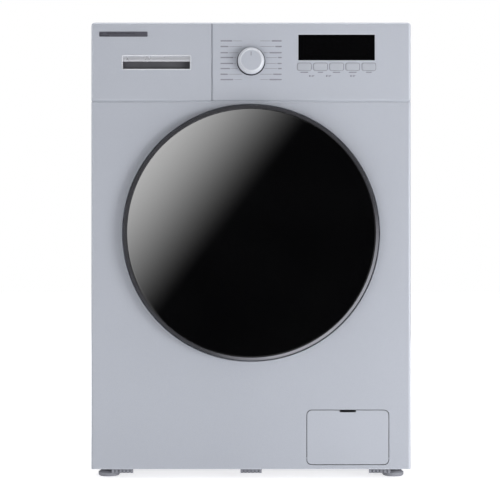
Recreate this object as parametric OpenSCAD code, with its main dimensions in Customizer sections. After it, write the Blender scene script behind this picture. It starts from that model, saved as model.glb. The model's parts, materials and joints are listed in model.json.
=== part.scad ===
// Front-loading washing machine, full size, with its suspended tub, drive, dispenser and drain.
// Millimetres. +Z is up, the front faces -Y, and the origin is on the floor under the middle of the box.
// "Depth" always means the distance behind the front panel's face.

/* [Cabinet] */
// Overall width of the cabinet
cabinet_w = 595; // [595:5:720]
// Height from the floor to the worktop
cabinet_h = 850; // [850:5:1020]
// Depth from the front panel's face to the rear panel's face
cabinet_d = 500; // [500:5:620]
// Gap between the floor and the cabinet's lower edge
ground_gap = 18; // [15:1:24]
// Thickness of the steel sheet
sheet_t = 1; // [0.8:0.1:1.4]
// How far the front panel wraps round onto the sides
panel_wrap = 16; // [14:1:24]
// Radius of the cabinet's upright front edges
edge_r = 5; // [3:0.5:8]
// Thickness of the worktop
lid_t = 22; // [18:1:30]
// How far the rear connections stand out behind the rear panel
rear_proud = 28; // [26:1:40]

/* [Console] */
// Height of the console across the top of the front
console_h = 146; // [120:1:147]
// Depth of the console's sides
console_d = 40; // [36:1:60]
// Wall of the moulded console
console_wall = 2.5; // [2:0.1:3.5]
// Width of the drawer front
drawer_front_w = 223.5; // [186:0.5:268.5]
// Thickness of the drawer front
drawer_front_t = 20; // [16:0.5:24]
// Shadow gap round the drawer front and above the front panel
seam = 2.5; // [1.5:0.1:3.5]
// Width and height of the drawer's grip pocket
grip_size = [128.5, 27.3]; // [20:0.1:140]
// Diameter of the programme knob
knob_dia = 50; // [40:1:60]
// Diameter of the knob's flat face
knob_face_dia = 36; // [28:1:40]
// How far the knob stands out
knob_proud = 20; // [14:1:26]
// Width and height of the display window
display_size = [144.5, 50]; // [30:0.5:160]
// Width and height of a push button
button_size = [25, 13]; // [8:0.5:27]
// Gap between two push buttons
button_gap = 5; // [4:0.5:8]
// How far a push button travels
button_travel = 1.5; // [1:0.1:2.5]

/* [Door] */
// Distance from the top of the door's recess to the top of the front panel
door_top_gap = 3.5; // [2:0.5:10]
// Radius of the door's outer ring
door_r = 236; // [196:1:238]
// Width of the ring round the dark cover
ring_w = 7; // [5:0.5:10]
// How far the middle of the cover stands out of the front panel
door_proud = 32; // [31:1:40]
// Rise of the cover's dome from its edge to its middle
cover_rise = 9; // [5:0.5:11]
// Thickness of the dark cover
cover_t = 3; // [2:0.5:4]
// Depth of the round recess that the door sits in
recess_d = 10; // [10:1:12]
// Gap between the door's ring and the floor of its recess, all round
door_gap = 1; // [0.8:0.1:2]
// Width of the flat between the doorway and the door's edge
door_band = 68; // [66:1:82]
// Depth of the glass bowl behind the front panel's face
bowl_d = 104; // [86:1:112]
// Thickness of the glass bowl
glass_t = 5; // [4:0.5:6]
// Radius of the door's hinge pin
hinge_pin_r = 3; // [2.5:0.1:3.6]

/* [Service flap] */
// Width and height of the opening for the service flap
flap_hole = [154, 103]; // [90:1:170]
// Distance from the panel's lower edge to that opening
flap_up = 8; // [8:0.5:20]
// Distance from the cabinet's right side to the opening
flap_side = 40.5; // [40:0.5:60]
// Thickness of the flap
flap_t = 2.5; // [2:0.5:3]

/* [Drum and tub] */
// Outer radius of the drum
drum_r = 240; // [200:1:241]
// Length of the drum
drum_len = 300; // [250:1:310]
// Depth of the drum's front edge
drum_front_d = 88; // [86:1:106]
// Thickness of the drum's sheet
drum_t = 1.2; // [0.8:0.1:1.6]
// Radius of the drum's mouth
drum_mouth_r = 160; // [150:1:192]
// Height of a drum paddle
paddle_h = 52; // [40:1:60]
// Gap between the drum and the tub
tub_gap = 12; // [10:0.5:14.5]
// Wall of the moulded tub
tub_wall = 5; // [4:0.5:6]
// Radius of the drum's shaft
shaft_r = 15; // [12.5:0.5:18]
// Radius of the drum pulley under the belt
drum_pulley_r = 145; // [120:1:174]
// Radius of the motor pulley under the belt
motor_pulley_r = 11.6; // [9:0.1:16]
// Radius of the motor
motor_r = 50; // [42:1:60]

/* [Feet] */
// Radius of a foot
foot_r = 20; // [16:1:24]
// Radius of a foot's threaded stud
foot_stud_r = 5; // [4:0.5:6]
// Distance from the cabinet's side to a foot's centre
foot_side = 29; // [24:1:30]
// Depth of the front feet's centres
foot_d = 46; // [46:1:60]

/* [Hidden] */
$fn = 72;
// Fits and small gaps
running = 0.05;
loose = 0.5;
cut = 1;
// Places along Y
overall_d = door_proud + cabinet_d + rear_proud;
face_y = -overall_d / 2 + door_proud;
// Places along Z
console_z = cabinet_h - console_h;
panel_top = console_z - seam;
wall_top = cabinet_h - lid_t;
pan_z = ground_gap + sheet_t + loose;
pan_h = 30;
pan_t = 3;
fold_r = 1.6;
corner_r = 8;
// Drawer and dispenser
drawer_edge_x = -cabinet_w / 2 + drawer_front_w;
drawer_x = -cabinet_w / 2 + drawer_front_w / 2;
grip_x = drawer_x + 9.5;
grip_z = console_z + console_h / 2 - 2;
grip_depth = drawer_front_t - 4;
tray_w = drawer_front_w - 28;
tray_h = 56;
tray_len = 238;
tray_wall = 2;
tray_z = cabinet_h - 108;
tray_side_gap = 2;
tray_top_gap = 12;
housing_wall = 2.5;
housing_d = drawer_front_t + seam + console_wall;
housing_end = drawer_front_t + tray_len + 28;
outlet_r = 19;
outlet_d = housing_d + 164;
// Controls
knob_z = console_z + console_h / 2;
control_x = cabinet_w / 2 - 138.5;
display_z = cabinet_h - 47.2;
button_pitch = button_size[0] + button_gap;
button_z = display_z - display_size[1] / 2 - 4.5 - button_size[1] / 2;
button_proud = 1.2;
button_count = 5;
knob_shaft_r = 4;
board_d = 26;
board_t = 2;
switch_d = 15;
// Door
cover_r = door_r - ring_w;
mouth_r = door_r - door_band;
cover_edge_d = -(door_proud - cover_rise);
ring_bevel_d = cover_edge_d + 8;
door_back_d = recess_d - 4;
recess_floor_r = door_r + door_gap;
recess_edge_r = recess_floor_r + 3;
lip_d = recess_d + 14;
tub_r = drum_r + tub_gap;
tub_out_r = tub_r + tub_wall;
flange_r = tub_out_r + 8;
tub_float_room = 12;
housing_side_x = drawer_x + tray_w / 2 + tray_side_gap + housing_wall;
housing_under_z = tray_z - tray_side_gap - housing_wall;
axis_under_housing = housing_under_z - tub_float_room - sqrt(pow(flange_r, 2) - pow(max(0, -housing_side_x), 2));
// door and drum share one axis, as high as the door's recess and the tub under the dispenser both allow
drum_axis_z = min(panel_top - door_top_gap - recess_edge_r, axis_under_housing);
cover_sphere_r = (pow(cover_r, 2) + pow(cover_rise, 2)) / (2 * cover_rise);
bowl_mouth_r = mouth_r - 22;
bowl_end_r = bowl_mouth_r - 30;
glass_rim_r = bowl_mouth_r + 12;
frame_t = 4;
hinge_x = -(door_r - 10);
hinge_d = -9.5;
knuckle_r = hinge_pin_r + 2;
hinge_half = 46;
lug_t = 12;
hinge_notch_half = hinge_half + 5;
latch_x = door_r - 30;
latch_d = -8;
latch_pin_r = 2.5;
hook_half = 4;
ear_gap = 0.6;
ear_t = 3.4;
hook_slot = [15, 46];
pull_half = 44;
// Tub, drum and drive
tub_front_d = drum_front_d - 16;
tub_split_d = drum_front_d + 0.5 * drum_len;
drum_back_d = drum_front_d + drum_len;
tub_back_d = drum_back_d + 16;
tub_back_t = 6;
flange_t = 7;
tub_mouth_r = drum_mouth_r + 6;
bearing_r = shaft_r + 16;
hub_r = bearing_r + 11;
hub_end_d = tub_back_d + 26;
spider_t = 9;
bearing_t = 12;
pulley_d = hub_end_d + 12;
pulley_t = 14;
belt_t = 4;
belt_gap = 0.4;
motor_x = -42;
motor_z = drum_axis_z - tub_out_r - motor_r - 20;
motor_front_d = tub_split_d + 64;
motor_back_d = pulley_d - 16;
motor_shaft_r = 6;
belt_ratio = drum_pulley_r / motor_pulley_r;
sump_half = 62;
sump_d = [drum_front_d - 12, tub_split_d - 22];
sump_stub_x = sump_half - 24;
sump_stub_d = sump_d[0] + 22;
sump_drop = 26;
sump_z = drum_axis_z - tub_out_r - sump_drop;
heater_z = sump_z + 14;
heater_plug = [64, 14];
spring_x = cabinet_w / 2 - 35;
spring_lug_rise = 0.62 * tub_out_r;
spring_lug_z = drum_axis_z + spring_lug_rise;
// height of the dispenser hose's lower end over the drum's axis, clear of the tub and of the spring lugs
outlet_rise = max(sqrt(pow(tub_out_r, 2) - pow(drawer_x + outlet_r, 2)) + 20, spring_lug_rise + 6);
spring_top_z = tray_z - 20;
spring_r = 11;
spring_wire = 3.6;
spring_depths = [tub_split_d - 75, tub_split_d + 95];
damper_x = tub_out_r - 52;
damper_d = tub_split_d - 30;
damper_r = 14;
damper_rod_r = 6;
damper_top_z = drum_axis_z - sqrt(pow(tub_out_r, 2) - pow(damper_x - 12, 2)) + 5;
// Drain
flap_z = ground_gap + flap_up;
flap_x = cabinet_w / 2 - flap_side - flap_hole[0] / 2;
flap_mid_z = flap_z + flap_hole[1] / 2;
flap_clear = 1.3;
flap_axis_d = 5;
flap_axis_z = flap_z + 12;
flap_pin_r = 2;
pocket_t = 2;
pocket_d = 36;
filter_x = flap_x - 12;
filter_z = flap_mid_z + 4;
filter_r = 24;
cap_r = 30;
pump_r = 32;
pump_end_d = 118;
pump_motor_r = 26;
pump_motor_len = 52;
drain_x = cabinet_w / 2 - 38;
drain_hose_r = 12;
drain_z = pan_z + pan_h + drain_hose_r + 4;
// Rear
inlet_x = cabinet_w / 2 - 92;
inlet_z = cabinet_h - 72;
inlet_thread_r = 13.2;
inlet_thread_len = 18;
access_size = [300, 400];
access_z = drum_axis_z - 60;
screw_r = 2;
screw_head_r = 4.2;
lid_screw_x = cabinet_w / 2 - 60;
gland_x = -cabinet_w / 2 + 70;
gland_z = cabinet_h - 86;
gland_r = 4.5;

// ---------- shared shapes ----------

// Moves children behind the front panel's face.
module at_depth(d) translate([0, face_y + d, 0]) children();

// Stands children on the drum's axis from a depth, with their own z running backwards.
module on_axis(d) translate([0, face_y + d, drum_axis_z]) rotate([-90, 0, 0]) children();

// Lays children's own z along +Y at a place given as [x, depth, z].
module along_y(p) translate([p[0], face_y + p[1], p[2]]) rotate([-90, 0, 0]) children();

// Extrudes a flat outline drawn in X and Z backwards from a depth.
module plate(d, t) translate([0, face_y + d + t, 0]) rotate([90, 0, 0]) linear_extrude(t) children();

// A rectangle with round corners, centred.
module rounded2d(w, h, r) {
    square([w - 2 * r, h], center = true);
    square([w, h - 2 * r], center = true);
    for (sx = [-1, 1], sz = [-1, 1]) translate([sx * (w / 2 - r), sz * (h / 2 - r)]) circle(r);
}

// A block from the face backwards, with its upright and level front edges rounded.
module soft_block(w, d, z0, z1, r_upright, r_level) {
    intersection() {
        translate([0, d, z0 - cut]) linear_extrude(z1 - z0 + 2 * cut) rounded2d(w, 2 * d, r_upright);
        translate([-w / 2 - cut, d, (z0 + z1) / 2]) rotate([90, 0, 90])
            linear_extrude(w + 2 * cut) rounded2d(2 * d, z1 - z0, r_level);
        translate([-w / 2 - cut, 0, z0 - cut]) cube([w + 2 * cut, d, z1 - z0 + 2 * cut]);
    }
}

// A box from corner a to corner b, given as [x, depth, z].
module box(a, b) translate([a[0], face_y + a[1], a[2]]) cube([b[0] - a[0], b[1] - a[1], b[2] - a[2]]);

// A round bar from point a to point b.
module bar(a, b, r) {
    v = b - a;
    len = norm(v);
    translate(a) rotate([0, acos(v[2] / len), atan2(v[1], v[0])]) cylinder(r = r, h = len);
}

// A hose along a list of points, with a slightly fuller ball at each bend.
module hose(points, r) {
    for (i = [0:len(points) - 2]) bar(points[i], points[i + 1], r);
    for (i = [1:len(points) - 2]) translate(points[i]) sphere(r + 0.3);
}

// ---------- cabinet ----------

// One side with its pressed field, its edge flanges and the welded shelf that two springs hang from.
module side_panel() {
    x0 = cabinet_w / 2 - sheet_t;
    emboss = 2.5;
    emboss_size = [cabinet_d - 160, 430];
    flange = 12;
    shelf = [spring_depths[0] - 30, spring_depths[1] + 30];
    difference() {
        union() {
            box([x0, panel_wrap, ground_gap], [x0 + sheet_t, cabinet_d, console_z]);
            box([x0, console_d, console_z], [x0 + sheet_t, cabinet_d, wall_top]);
            box([x0 - flange, panel_wrap, ground_gap], [x0, panel_wrap + sheet_t, panel_top - 4]);
            box([x0 - flange, cabinet_d - 2 * sheet_t, pan_z + pan_h], [x0, cabinet_d - sheet_t, wall_top]);
            translate([x0 - emboss, face_y + cabinet_d / 2 + 10, access_z]) rotate([90, 0, 90])
                linear_extrude(emboss) rounded2d(emboss_size[0] + 2 * sheet_t, emboss_size[1] + 2 * sheet_t, 22);
            box([x0 - 2, shelf[0], spring_top_z - 10], [x0, shelf[1], spring_top_z + 12]);
            box([spring_x - 14, shelf[0], spring_top_z], [x0, shelf[1], spring_top_z + 2]);
        }
        translate([x0 + sheet_t - emboss, face_y + cabinet_d / 2 + 10, access_z]) rotate([90, 0, 90])
            linear_extrude(emboss + cut) rounded2d(emboss_size[0], emboss_size[1], 21);
        for (d = spring_depths) translate([spring_x, face_y + d, spring_top_z - cut]) cylinder(r = 5, h = 4);
    }
}

module right_side_panel() color("silver") side_panel();

module left_side_panel() color("silver") mirror([1, 0, 0]) side_panel();

// Where the access cover's screws go, as [x, z].
access_screws = [for (sx = [-1, 1], sz = [-1, 0, 1])
    [sx * (access_size[0] / 2 - 10), access_z + sz * (access_size[1] / 2 - 30)]];

module rear_panel() {
    w = cabinet_w - 2 * sheet_t;
    rib = 1.6;
    color("silver") difference() {
        union() {
            plate(cabinet_d - sheet_t, sheet_t) translate([0, (ground_gap + wall_top) / 2])
                square([w, wall_top - ground_gap], center = true);
            // pressed ribs beside the access cover
            for (sx = [-1, 1], z = [150, 230, 640]) plate(cabinet_d - cut, rib + cut)
                translate([sx * (w / 2 - 62), z]) rounded2d(70, 14, 6);
        }
        plate(cabinet_d - 4, 10) translate([0, access_z])
            rounded2d(access_size[0] - 50, access_size[1] - 30, 20);
        for (p = access_screws) along_y([p[0], cabinet_d - 4, p[1]]) cylinder(r = screw_r, h = 10);
        along_y([inlet_x, cabinet_d - 4, inlet_z]) cylinder(r = inlet_thread_r + 3, h = 10);
        along_y([gland_x, cabinet_d - 4, gland_z]) cylinder(r = gland_r + 5, h = 10);
        along_y([drain_x, cabinet_d - 4, drain_z]) cylinder(r = drain_hose_r + 1, h = 10);
    }
}

module rear_access_cover() {
    bulge = 12;
    cover_sheet = 1.5;
    field = [access_size[0] - 54, access_size[1] - 54];
    color("gainsboro") difference() {
        union() {
            plate(cabinet_d, cover_sheet) translate([0, access_z]) rounded2d(access_size[0], access_size[1], 26);
            plate(cabinet_d, bulge) translate([0, access_z]) rounded2d(field[0], field[1], 40);
        }
        plate(cabinet_d - cut, bulge + cut - cover_sheet) translate([0, access_z])
            rounded2d(field[0] - 2 * cover_sheet, field[1] - 2 * cover_sheet, 38.5);
        for (p = access_screws) along_y([p[0], cabinet_d - cut, p[1]]) cylinder(r = screw_r + 0.2, h = 6);
    }
}

// Six screws through the access cover and two into the back edge of the worktop.
module cabinet_screws() {
    head = 2.4;
    reach = 9;
    seats = concat([for (p = access_screws) [p[0], cabinet_d + 1.5, p[1]]],
        [for (sx = [-1, 1]) [sx * lid_screw_x, cabinet_d, wall_top + lid_t / 2]]);
    color("lightgray") for (p = seats) along_y(p) difference() {
        union() {
            cylinder(r = screw_head_r, h = head);
            translate([0, 0, -reach]) cylinder(r = screw_r, h = reach + cut);
        }
        for (a = [0, 90]) rotate([0, 0, a]) translate([-2.4, -0.5, head - 1.2]) cube([4.8, 1, 2]);
    }
}

module foot_place(sx, d, z) translate([sx * (cabinet_w / 2 - foot_side), face_y + d, z]) children();

// The moulded tray across the bottom, with its foot bosses and the three toothed lugs under the front edge.
module base_pan() {
    inner_x = cabinet_w / 2 - sheet_t;
    front = panel_wrap + sheet_t + 1.5;
    back = cabinet_d - sheet_t;
    lug_w = 40;
    lug_z = pan_z - 11.5;
    thin = pan_z + pan_t - 1.2;
    lug_places = [-1, 0, 1] * (cabinet_w / 2 - 56.5);
    color("dimgray") difference() {
        union() {
            difference() {
                box([-inner_x, front, pan_z], [inner_x, back, pan_z + pan_h]);
                box([-inner_x + pan_t, front + pan_t, pan_z + pan_t],
                    [inner_x - pan_t, back - pan_t, pan_z + pan_h + cut]);
                // thinner and open at the front, under the service pocket
                box([flap_x - flap_hole[0] / 2 - 8, front - cut, thin],
                    [flap_x + flap_hole[0] / 2 + 8, pocket_d + 8, pan_z + pan_h + cut]);
            }
            for (sx = [-1, 1], d = [foot_d, cabinet_d - foot_d]) foot_place(sx, d, pan_z) cylinder(r = 13, h = pan_h);
            for (sx = [-1, 1]) translate([sx * damper_x, face_y + damper_d, pan_z])
                cylinder(r = damper_r + 6, h = 12);
            for (x = lug_places) box([x - lug_w / 2, front, lug_z], [x + lug_w / 2, front + 5, thin]);
        }
        for (sx = [-1, 1], d = [foot_d, cabinet_d - foot_d]) foot_place(sx, d, pan_z - cut)
            cylinder(r = foot_stud_r + running, h = pan_h + 2 * cut);
        for (x = lug_places, i = [-2:2])
            box([x + 7 * i - 1.5, front - cut, lug_z - cut], [x + 7 * i + 1.5, front + 3, pan_z - 5]);
    }
}

module flap_opening2d(extra) translate([flap_x, flap_mid_z])
    rounded2d(flap_hole[0] + 2 * extra, flap_hole[1] + 2 * extra, 10 + extra);

// The recess round the doorway: a short cone, a flat floor and a lip that the seal grips.
module door_recess() {
    on_axis(0) rotate_extrude() polygon([
        [recess_edge_r + sheet_t, 0], [recess_edge_r, 0], [recess_floor_r, recess_d], [mouth_r, recess_d],
        [mouth_r, lip_d], [mouth_r + sheet_t, lip_d], [mouth_r + sheet_t, recess_d + sheet_t],
        [recess_floor_r + sheet_t, recess_d + sheet_t], [recess_edge_r + sheet_t, sheet_t]]);
}

module front_panel() {
    color("silver") difference() {
        union() {
            at_depth(0) difference() {
                soft_block(cabinet_w, panel_wrap, ground_gap, panel_top, edge_r, fold_r);
                translate([0, sheet_t, 0]) soft_block(cabinet_w - 2 * sheet_t, panel_wrap, ground_gap + sheet_t,
                    panel_top - sheet_t, edge_r - sheet_t, fold_r - sheet_t);
                translate([0, -cut, drum_axis_z]) rotate([-90, 0, 0]) cylinder(r = recess_edge_r, h = panel_wrap);
            }
            door_recess();
        }
        plate(-cut, 4 * cut) flap_opening2d(0);
        box([latch_x - hook_slot[0] / 2, recess_d - cut, drum_axis_z - hook_slot[1] / 2],
            [latch_x + hook_slot[0] / 2, recess_d + 4, drum_axis_z + hook_slot[1] / 2]);
    }
}

module top_lid() {
    gap = 0.6;
    d = cabinet_d - console_d - gap;
    color("silver") difference() {
        translate([0, face_y + console_d + gap + d / 2, wall_top]) intersection() {
            linear_extrude(lid_t) rounded2d(cabinet_w, d, 4);
            translate([-cabinet_w / 2 - cut, 0, lid_t / 2]) rotate([90, 0, 90])
                linear_extrude(cabinet_w + 2 * cut) rounded2d(d, lid_t, 3);
        }
        for (sx = [-1, 1]) along_y([sx * lid_screw_x, cabinet_d - 12, wall_top + lid_t / 2])
            cylinder(r = screw_r, h = 20);
    }
}

// ---------- console ----------

// The console's whole outline, from which its pieces are cut.
module console_block() {
    intersection() {
        soft_block(cabinet_w, console_d, console_z, cabinet_h, edge_r, fold_r);
        translate([0, console_d + cut, console_z]) rotate([90, 0, 0])
            linear_extrude(console_d + 2 * cut) rounded2d(cabinet_w, 2 * console_h, corner_r);
        soft_block(cabinet_w, console_d, console_z - 20, cabinet_h, edge_r, 5.5);
    }
}

module tray_outline(extra) translate([drawer_x, tray_z + tray_h / 2])
    square([tray_w + 2 * extra, tray_h + 2 * extra], center = true);

function button_x(i) = control_x + (i - (button_count + 1) / 2) * button_pitch;

module control_fascia() {
    x_in = cabinet_w / 2 - console_wall;
    divide = drawer_edge_x + seam;
    step = drawer_front_t + seam;
    z_in = [console_z + console_wall, cabinet_h - console_wall];
    color("silver") difference() {
        at_depth(0) console_block();
        // room that the drawer front fills
        box([-cabinet_w / 2 - cut, -cut, console_z - cut], [divide, step, cabinet_h + cut]);
        // hollow behind the walls
        box([divide + console_wall, console_wall, z_in[0]], [x_in, console_d + cut, z_in[1]]);
        box([-x_in, step + console_wall, z_in[0]], [divide + console_wall + cut, console_d + cut, z_in[1]]);
        plate(step - cut, console_wall + 2 * cut) tray_outline(tray_side_gap);
        along_y([0, -cut, knob_z]) cylinder(r = knob_shaft_r + 1, h = 6);
        plate(-cut, 6) translate([control_x, display_z]) rounded2d(display_size[0], display_size[1], 1.2);
        for (i = [1:button_count]) plate(-cut, 6) translate([button_x(i), button_z])
            rounded2d(button_size[0] + 2 * loose, button_size[1] + 2 * loose, 3.2);
    }
}

module display_window() {
    size = [display_size[0] - 0.6, display_size[1] - 0.6];
    color("black") {
        plate(0.4, console_wall) translate([control_x, display_z]) rounded2d(size[0], size[1], 1);
        plate(console_wall, 2) translate([control_x, display_z]) square([size[0] + 6, size[1] - 2], center = true);
    }
}

// The circuit board, with a switch behind each button and the coder that the knob turns.
module control_board() {
    x0 = max(drawer_edge_x + 12, -60);
    x1 = cabinet_w / 2 - 20;
    color("darkgreen") difference() {
        union() {
            box([x0, board_d, button_z - 22], [x1, board_d + board_t, display_z + 24]);
            for (i = [1:button_count]) box([button_x(i) - 3, switch_d, button_z - 3], [button_x(i) + 3, board_d, button_z + 3]);
            along_y([0, board_d - 12, knob_z]) cylinder(r = 9, h = 12);
        }
        along_y([0, board_d - 13, knob_z]) cylinder(r = knob_shaft_r + running, h = 20);
    }
}

module programme_knob() {
    base_r = knob_dia / 2;
    color("silver") along_y([0, -knob_proud, knob_z]) {
        difference() {
            rotate_extrude() polygon([[0, 0], [knob_face_dia / 2, 0], [base_r - 1.2, 6], [base_r, 9],
                [base_r, knob_proud - 1.2], [0, knob_proud - 1.2]]);
            translate([-0.7, -knob_face_dia / 2 + 1, -cut]) cube([1.4, 8, cut + 0.5]);
        }
        cylinder(r = knob_shaft_r, h = knob_proud + board_d + 1);
    }
}

module push_button(i) {
    depth = 8;
    stem = switch_d - button_travel - 0.2 - depth + button_proud;
    color("silver") {
        plate(-button_proud, depth) translate([button_x(i), button_z]) rounded2d(button_size[0], button_size[1], 3);
        plate(depth - button_proud, stem) translate([button_x(i), button_z]) square([8, 5], center = true);
    }
}

// ---------- dispenser ----------

module drawer_front() {
    color("silver") difference() {
        intersection() {
            at_depth(0) console_block();
            box([-cabinet_w / 2 - cut, -cut, console_z - cut], [drawer_edge_x, drawer_front_t, cabinet_h + cut]);
        }
        plate(-cut, grip_depth + cut) translate([grip_x, grip_z]) rounded2d(grip_size[0], grip_size[1], 3);
    }
}

// The bright lining of the grip pocket, with the bar that fingers pull on.
module drawer_grip() {
    w = grip_size[0] - 0.4;
    h = grip_size[1] - 0.4;
    wall = 1.4;
    bar_h = 10;
    color("lightgray") {
        difference() {
            plate(0.2, grip_depth - 0.2) translate([grip_x, grip_z]) rounded2d(w, h, 2.8);
            plate(-cut, grip_depth - wall + cut) translate([grip_x, grip_z]) rounded2d(w - 2 * wall, h - 2 * wall, 1.6);
        }
        plate(1.4, 3) translate([grip_x, grip_z + h / 2 - bar_h / 2 - 0.4]) square([w - 2.4, bar_h], center = true);
    }
}

module drawer_tray() {
    x0 = drawer_x - tray_w / 2;
    x1 = drawer_x + tray_w / 2;
    splits = [x0 + 0.46 * tray_w, x0 + 0.72 * tray_w];
    z_floor = tray_z + tray_wall;
    d0 = drawer_front_t + tray_wall;
    d1 = drawer_front_t + tray_len - tray_wall;
    color("white") difference() {
        box([x0, drawer_front_t, tray_z], [x1, drawer_front_t + tray_len, tray_z + tray_h]);
        box([x0 + tray_wall, d0, z_floor], [splits[0], d1, tray_z + tray_h + cut]);
        box([splits[0] + tray_wall, d0, z_floor], [splits[1], d1, tray_z + tray_h + cut]);
        box([splits[1] + tray_wall, d0, z_floor], [x1 - tray_wall, d1, tray_z + tray_h + cut]);
        // the wash compartments drain over their rear edge
        box([x0 + tray_wall, d1 - cut, tray_z + 0.55 * tray_h], [splits[0], d1 + 10, tray_z + tray_h + cut]);
        box([splits[1] + tray_wall, d1 - cut, tray_z + 0.55 * tray_h], [x1 - tray_wall, d1 + 10, tray_z + tray_h + cut]);
    }
}

// The box that the drawer slides in, with its outlet to the tub and its inlet from the valve.
module dispenser_housing() {
    x0 = drawer_x - tray_w / 2 - tray_side_gap;
    x1 = drawer_x + tray_w / 2 + tray_side_gap;
    z0 = tray_z - tray_side_gap;
    z1 = tray_z + tray_h + tray_top_gap;
    w = housing_wall;
    color("white") difference() {
        union() {
            box([x0 - w, housing_d, z0 - w], [x1 + w, housing_end, z1 + w]);
            translate([drawer_x, face_y + outlet_d, z0 - w - 12]) cylinder(r = outlet_r, h = 12 + w);
            along_y([x1 - 20, housing_end - cut, inlet_z]) cylinder(r = 9, h = 18 + cut);
        }
        box([x0, housing_d - cut, z0], [x1, housing_end - w, z1]);
        translate([drawer_x, face_y + outlet_d, z0 - w - 13]) cylinder(r = outlet_r - 2.5, h = 14 + 2 * w);
        along_y([x1 - 20, housing_end - w - cut, inlet_z]) cylinder(r = 7, h = 30);
    }
}

module dispenser_hose() {
    z1 = tray_z - tray_side_gap - housing_wall - 12;
    z0 = drum_axis_z + outlet_rise;
    color("dimgray") translate([drawer_x, face_y + outlet_d, 0]) difference() {
        translate([0, 0, z0]) cylinder(r = outlet_r + 2.5, h = z1 - z0);
        translate([0, 0, z0 - cut]) cylinder(r = outlet_r - 0.5, h = z1 - z0 + 2 * cut);
    }
}

// The hose from the valve's outlet to the dispenser, under the worktop.
module fill_hose() {
    start = [drawer_x + tray_w / 2 + tray_side_gap - 20, face_y + housing_end + 18, inlet_z];
    valve = [inlet_x - 13, face_y + cabinet_d - 66, inlet_z];
    y = start[1] + 52;
    color("gray") hose([start, [start[0], y, inlet_z], [valve[0], y, inlet_z], valve], 8);
}

// The water valve: two coils inside, and the threaded inlet through the rear panel.
module inlet_valve() {
    color("ivory") {
        box([inlet_x - 26, cabinet_d - 52, inlet_z - 16], [inlet_x + 26, cabinet_d - 12, inlet_z + 16]);
        along_y([inlet_x - 13, cabinet_d - 66, inlet_z]) cylinder(r = 6, h = 15);
        for (sx = [-1, 1]) translate([inlet_x + sx * 13, face_y + cabinet_d - 32, inlet_z + 16])
            cylinder(r = 11, h = 22);
        along_y([inlet_x, cabinet_d - 12, inlet_z]) cylinder(r = inlet_thread_r + 2, h = 12);
        along_y([inlet_x, cabinet_d, inlet_z]) cylinder(r = inlet_thread_r + 6, h = 4);
        along_y([inlet_x, cabinet_d + 4, inlet_z]) difference() {
            cylinder(r = inlet_thread_r - 1.2, h = rear_proud - 4 - inlet_thread_len + cut);
            translate([0, 0, -cut]) cylinder(r = 8, h = rear_proud);
        }
        along_y([inlet_x, cabinet_d + rear_proud - inlet_thread_len, inlet_z]) difference() {
            cylinder(r = inlet_thread_r, h = inlet_thread_len);
            translate([0, 0, -cut]) cylinder(r = 8, h = inlet_thread_len + 2 * cut);
        }
    }
}

module mains_gland() {
    color("black") along_y([gland_x, cabinet_d - 16, gland_z]) difference() {
        union() {
            cylinder(r = gland_r + 4.5, h = 26);
            translate([0, 0, 16]) cylinder(r = gland_r + 7, h = 4);
            translate([0, 0, 11]) cylinder(r = gland_r + 7, h = 4);
        }
        translate([0, 0, -cut]) cylinder(r = gland_r, h = 26 + 2 * cut);
    }
}

// ---------- door ----------

module hinge_notch() box([-door_r - cut, hinge_d - knuckle_r - 0.8, drum_axis_z - hinge_notch_half],
    [hinge_x + 23, recess_d, drum_axis_z + hinge_notch_half]);

// The finger pull, hollowed from behind into the door's right edge.
module finger_pull() box([door_r - 18, ring_bevel_d + 4, drum_axis_z - pull_half],
    [door_r + cut, recess_d, drum_axis_z + pull_half]);

// The black ring round the door, cut away at the left for the hinge and at the right for fingers.
module door_ring() {
    inner_r = cover_r - 9;
    seat_d = cover_edge_d + cover_t;
    color("black") difference() {
        on_axis(0) rotate_extrude() polygon([
            [door_r, door_back_d], [door_r, ring_bevel_d], [door_r - 1, ring_bevel_d - 3],
            [cover_r + 2, cover_edge_d - 0.8], [cover_r + 0.3, cover_edge_d - 0.8],
            [cover_r + 0.3, seat_d], [inner_r, seat_d], [inner_r, seat_d + 3], [door_r - 5, seat_d + 5],
            [door_r - 5, door_back_d]]);
        hinge_notch();
        finger_pull();
    }
}

// The domed dark cover, a slice of a large ball with a flat rim.
module door_cover() {
    rim_w = 8;
    color([0.02, 0.02, 0.02]) on_axis(-door_proud) rotate_extrude() {
        intersection() {
            difference() {
                translate([0, cover_sphere_r]) circle(cover_sphere_r, $fn = 1440);
                translate([0, cover_sphere_r + cover_t]) circle(cover_sphere_r, $fn = 1440);
            }
            square([cover_r, cover_rise + cover_t]);
        }
        translate([cover_r - rim_w, cover_rise]) square([rim_w, cover_t]);
    }
}

// The flat frame behind the door's ring, with two ears that carry the latch hook's pin.
module door_inner_frame() {
    ear_x = hook_half + ear_gap;
    color("dimgray") difference() {
        union() {
            on_axis(0) rotate_extrude() polygon([
                [door_r - 5, door_back_d - frame_t], [door_r - 5, door_back_d], [bowl_mouth_r + 1, door_back_d],
                [bowl_mouth_r + 1, door_back_d - 2], [glass_rim_r, door_back_d - 2],
                [glass_rim_r, door_back_d - frame_t]]);
            for (sx = [-1, 1]) box([latch_x + min(sx * ear_x, sx * (ear_x + ear_t)), latch_d - 6, drum_axis_z - 12],
                [latch_x + max(sx * ear_x, sx * (ear_x + ear_t)), door_back_d - 1, drum_axis_z + 2]);
        }
        hinge_notch();
        finger_pull();
        box([latch_x - ear_x, -30, drum_axis_z - 17], [latch_x + ear_x, 30, drum_axis_z + 17]);
        translate([latch_x - 20, face_y + latch_d, drum_axis_z - 5]) rotate([0, 90, 0])
            cylinder(r = latch_pin_r + running, h = 40);
    }
}

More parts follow.
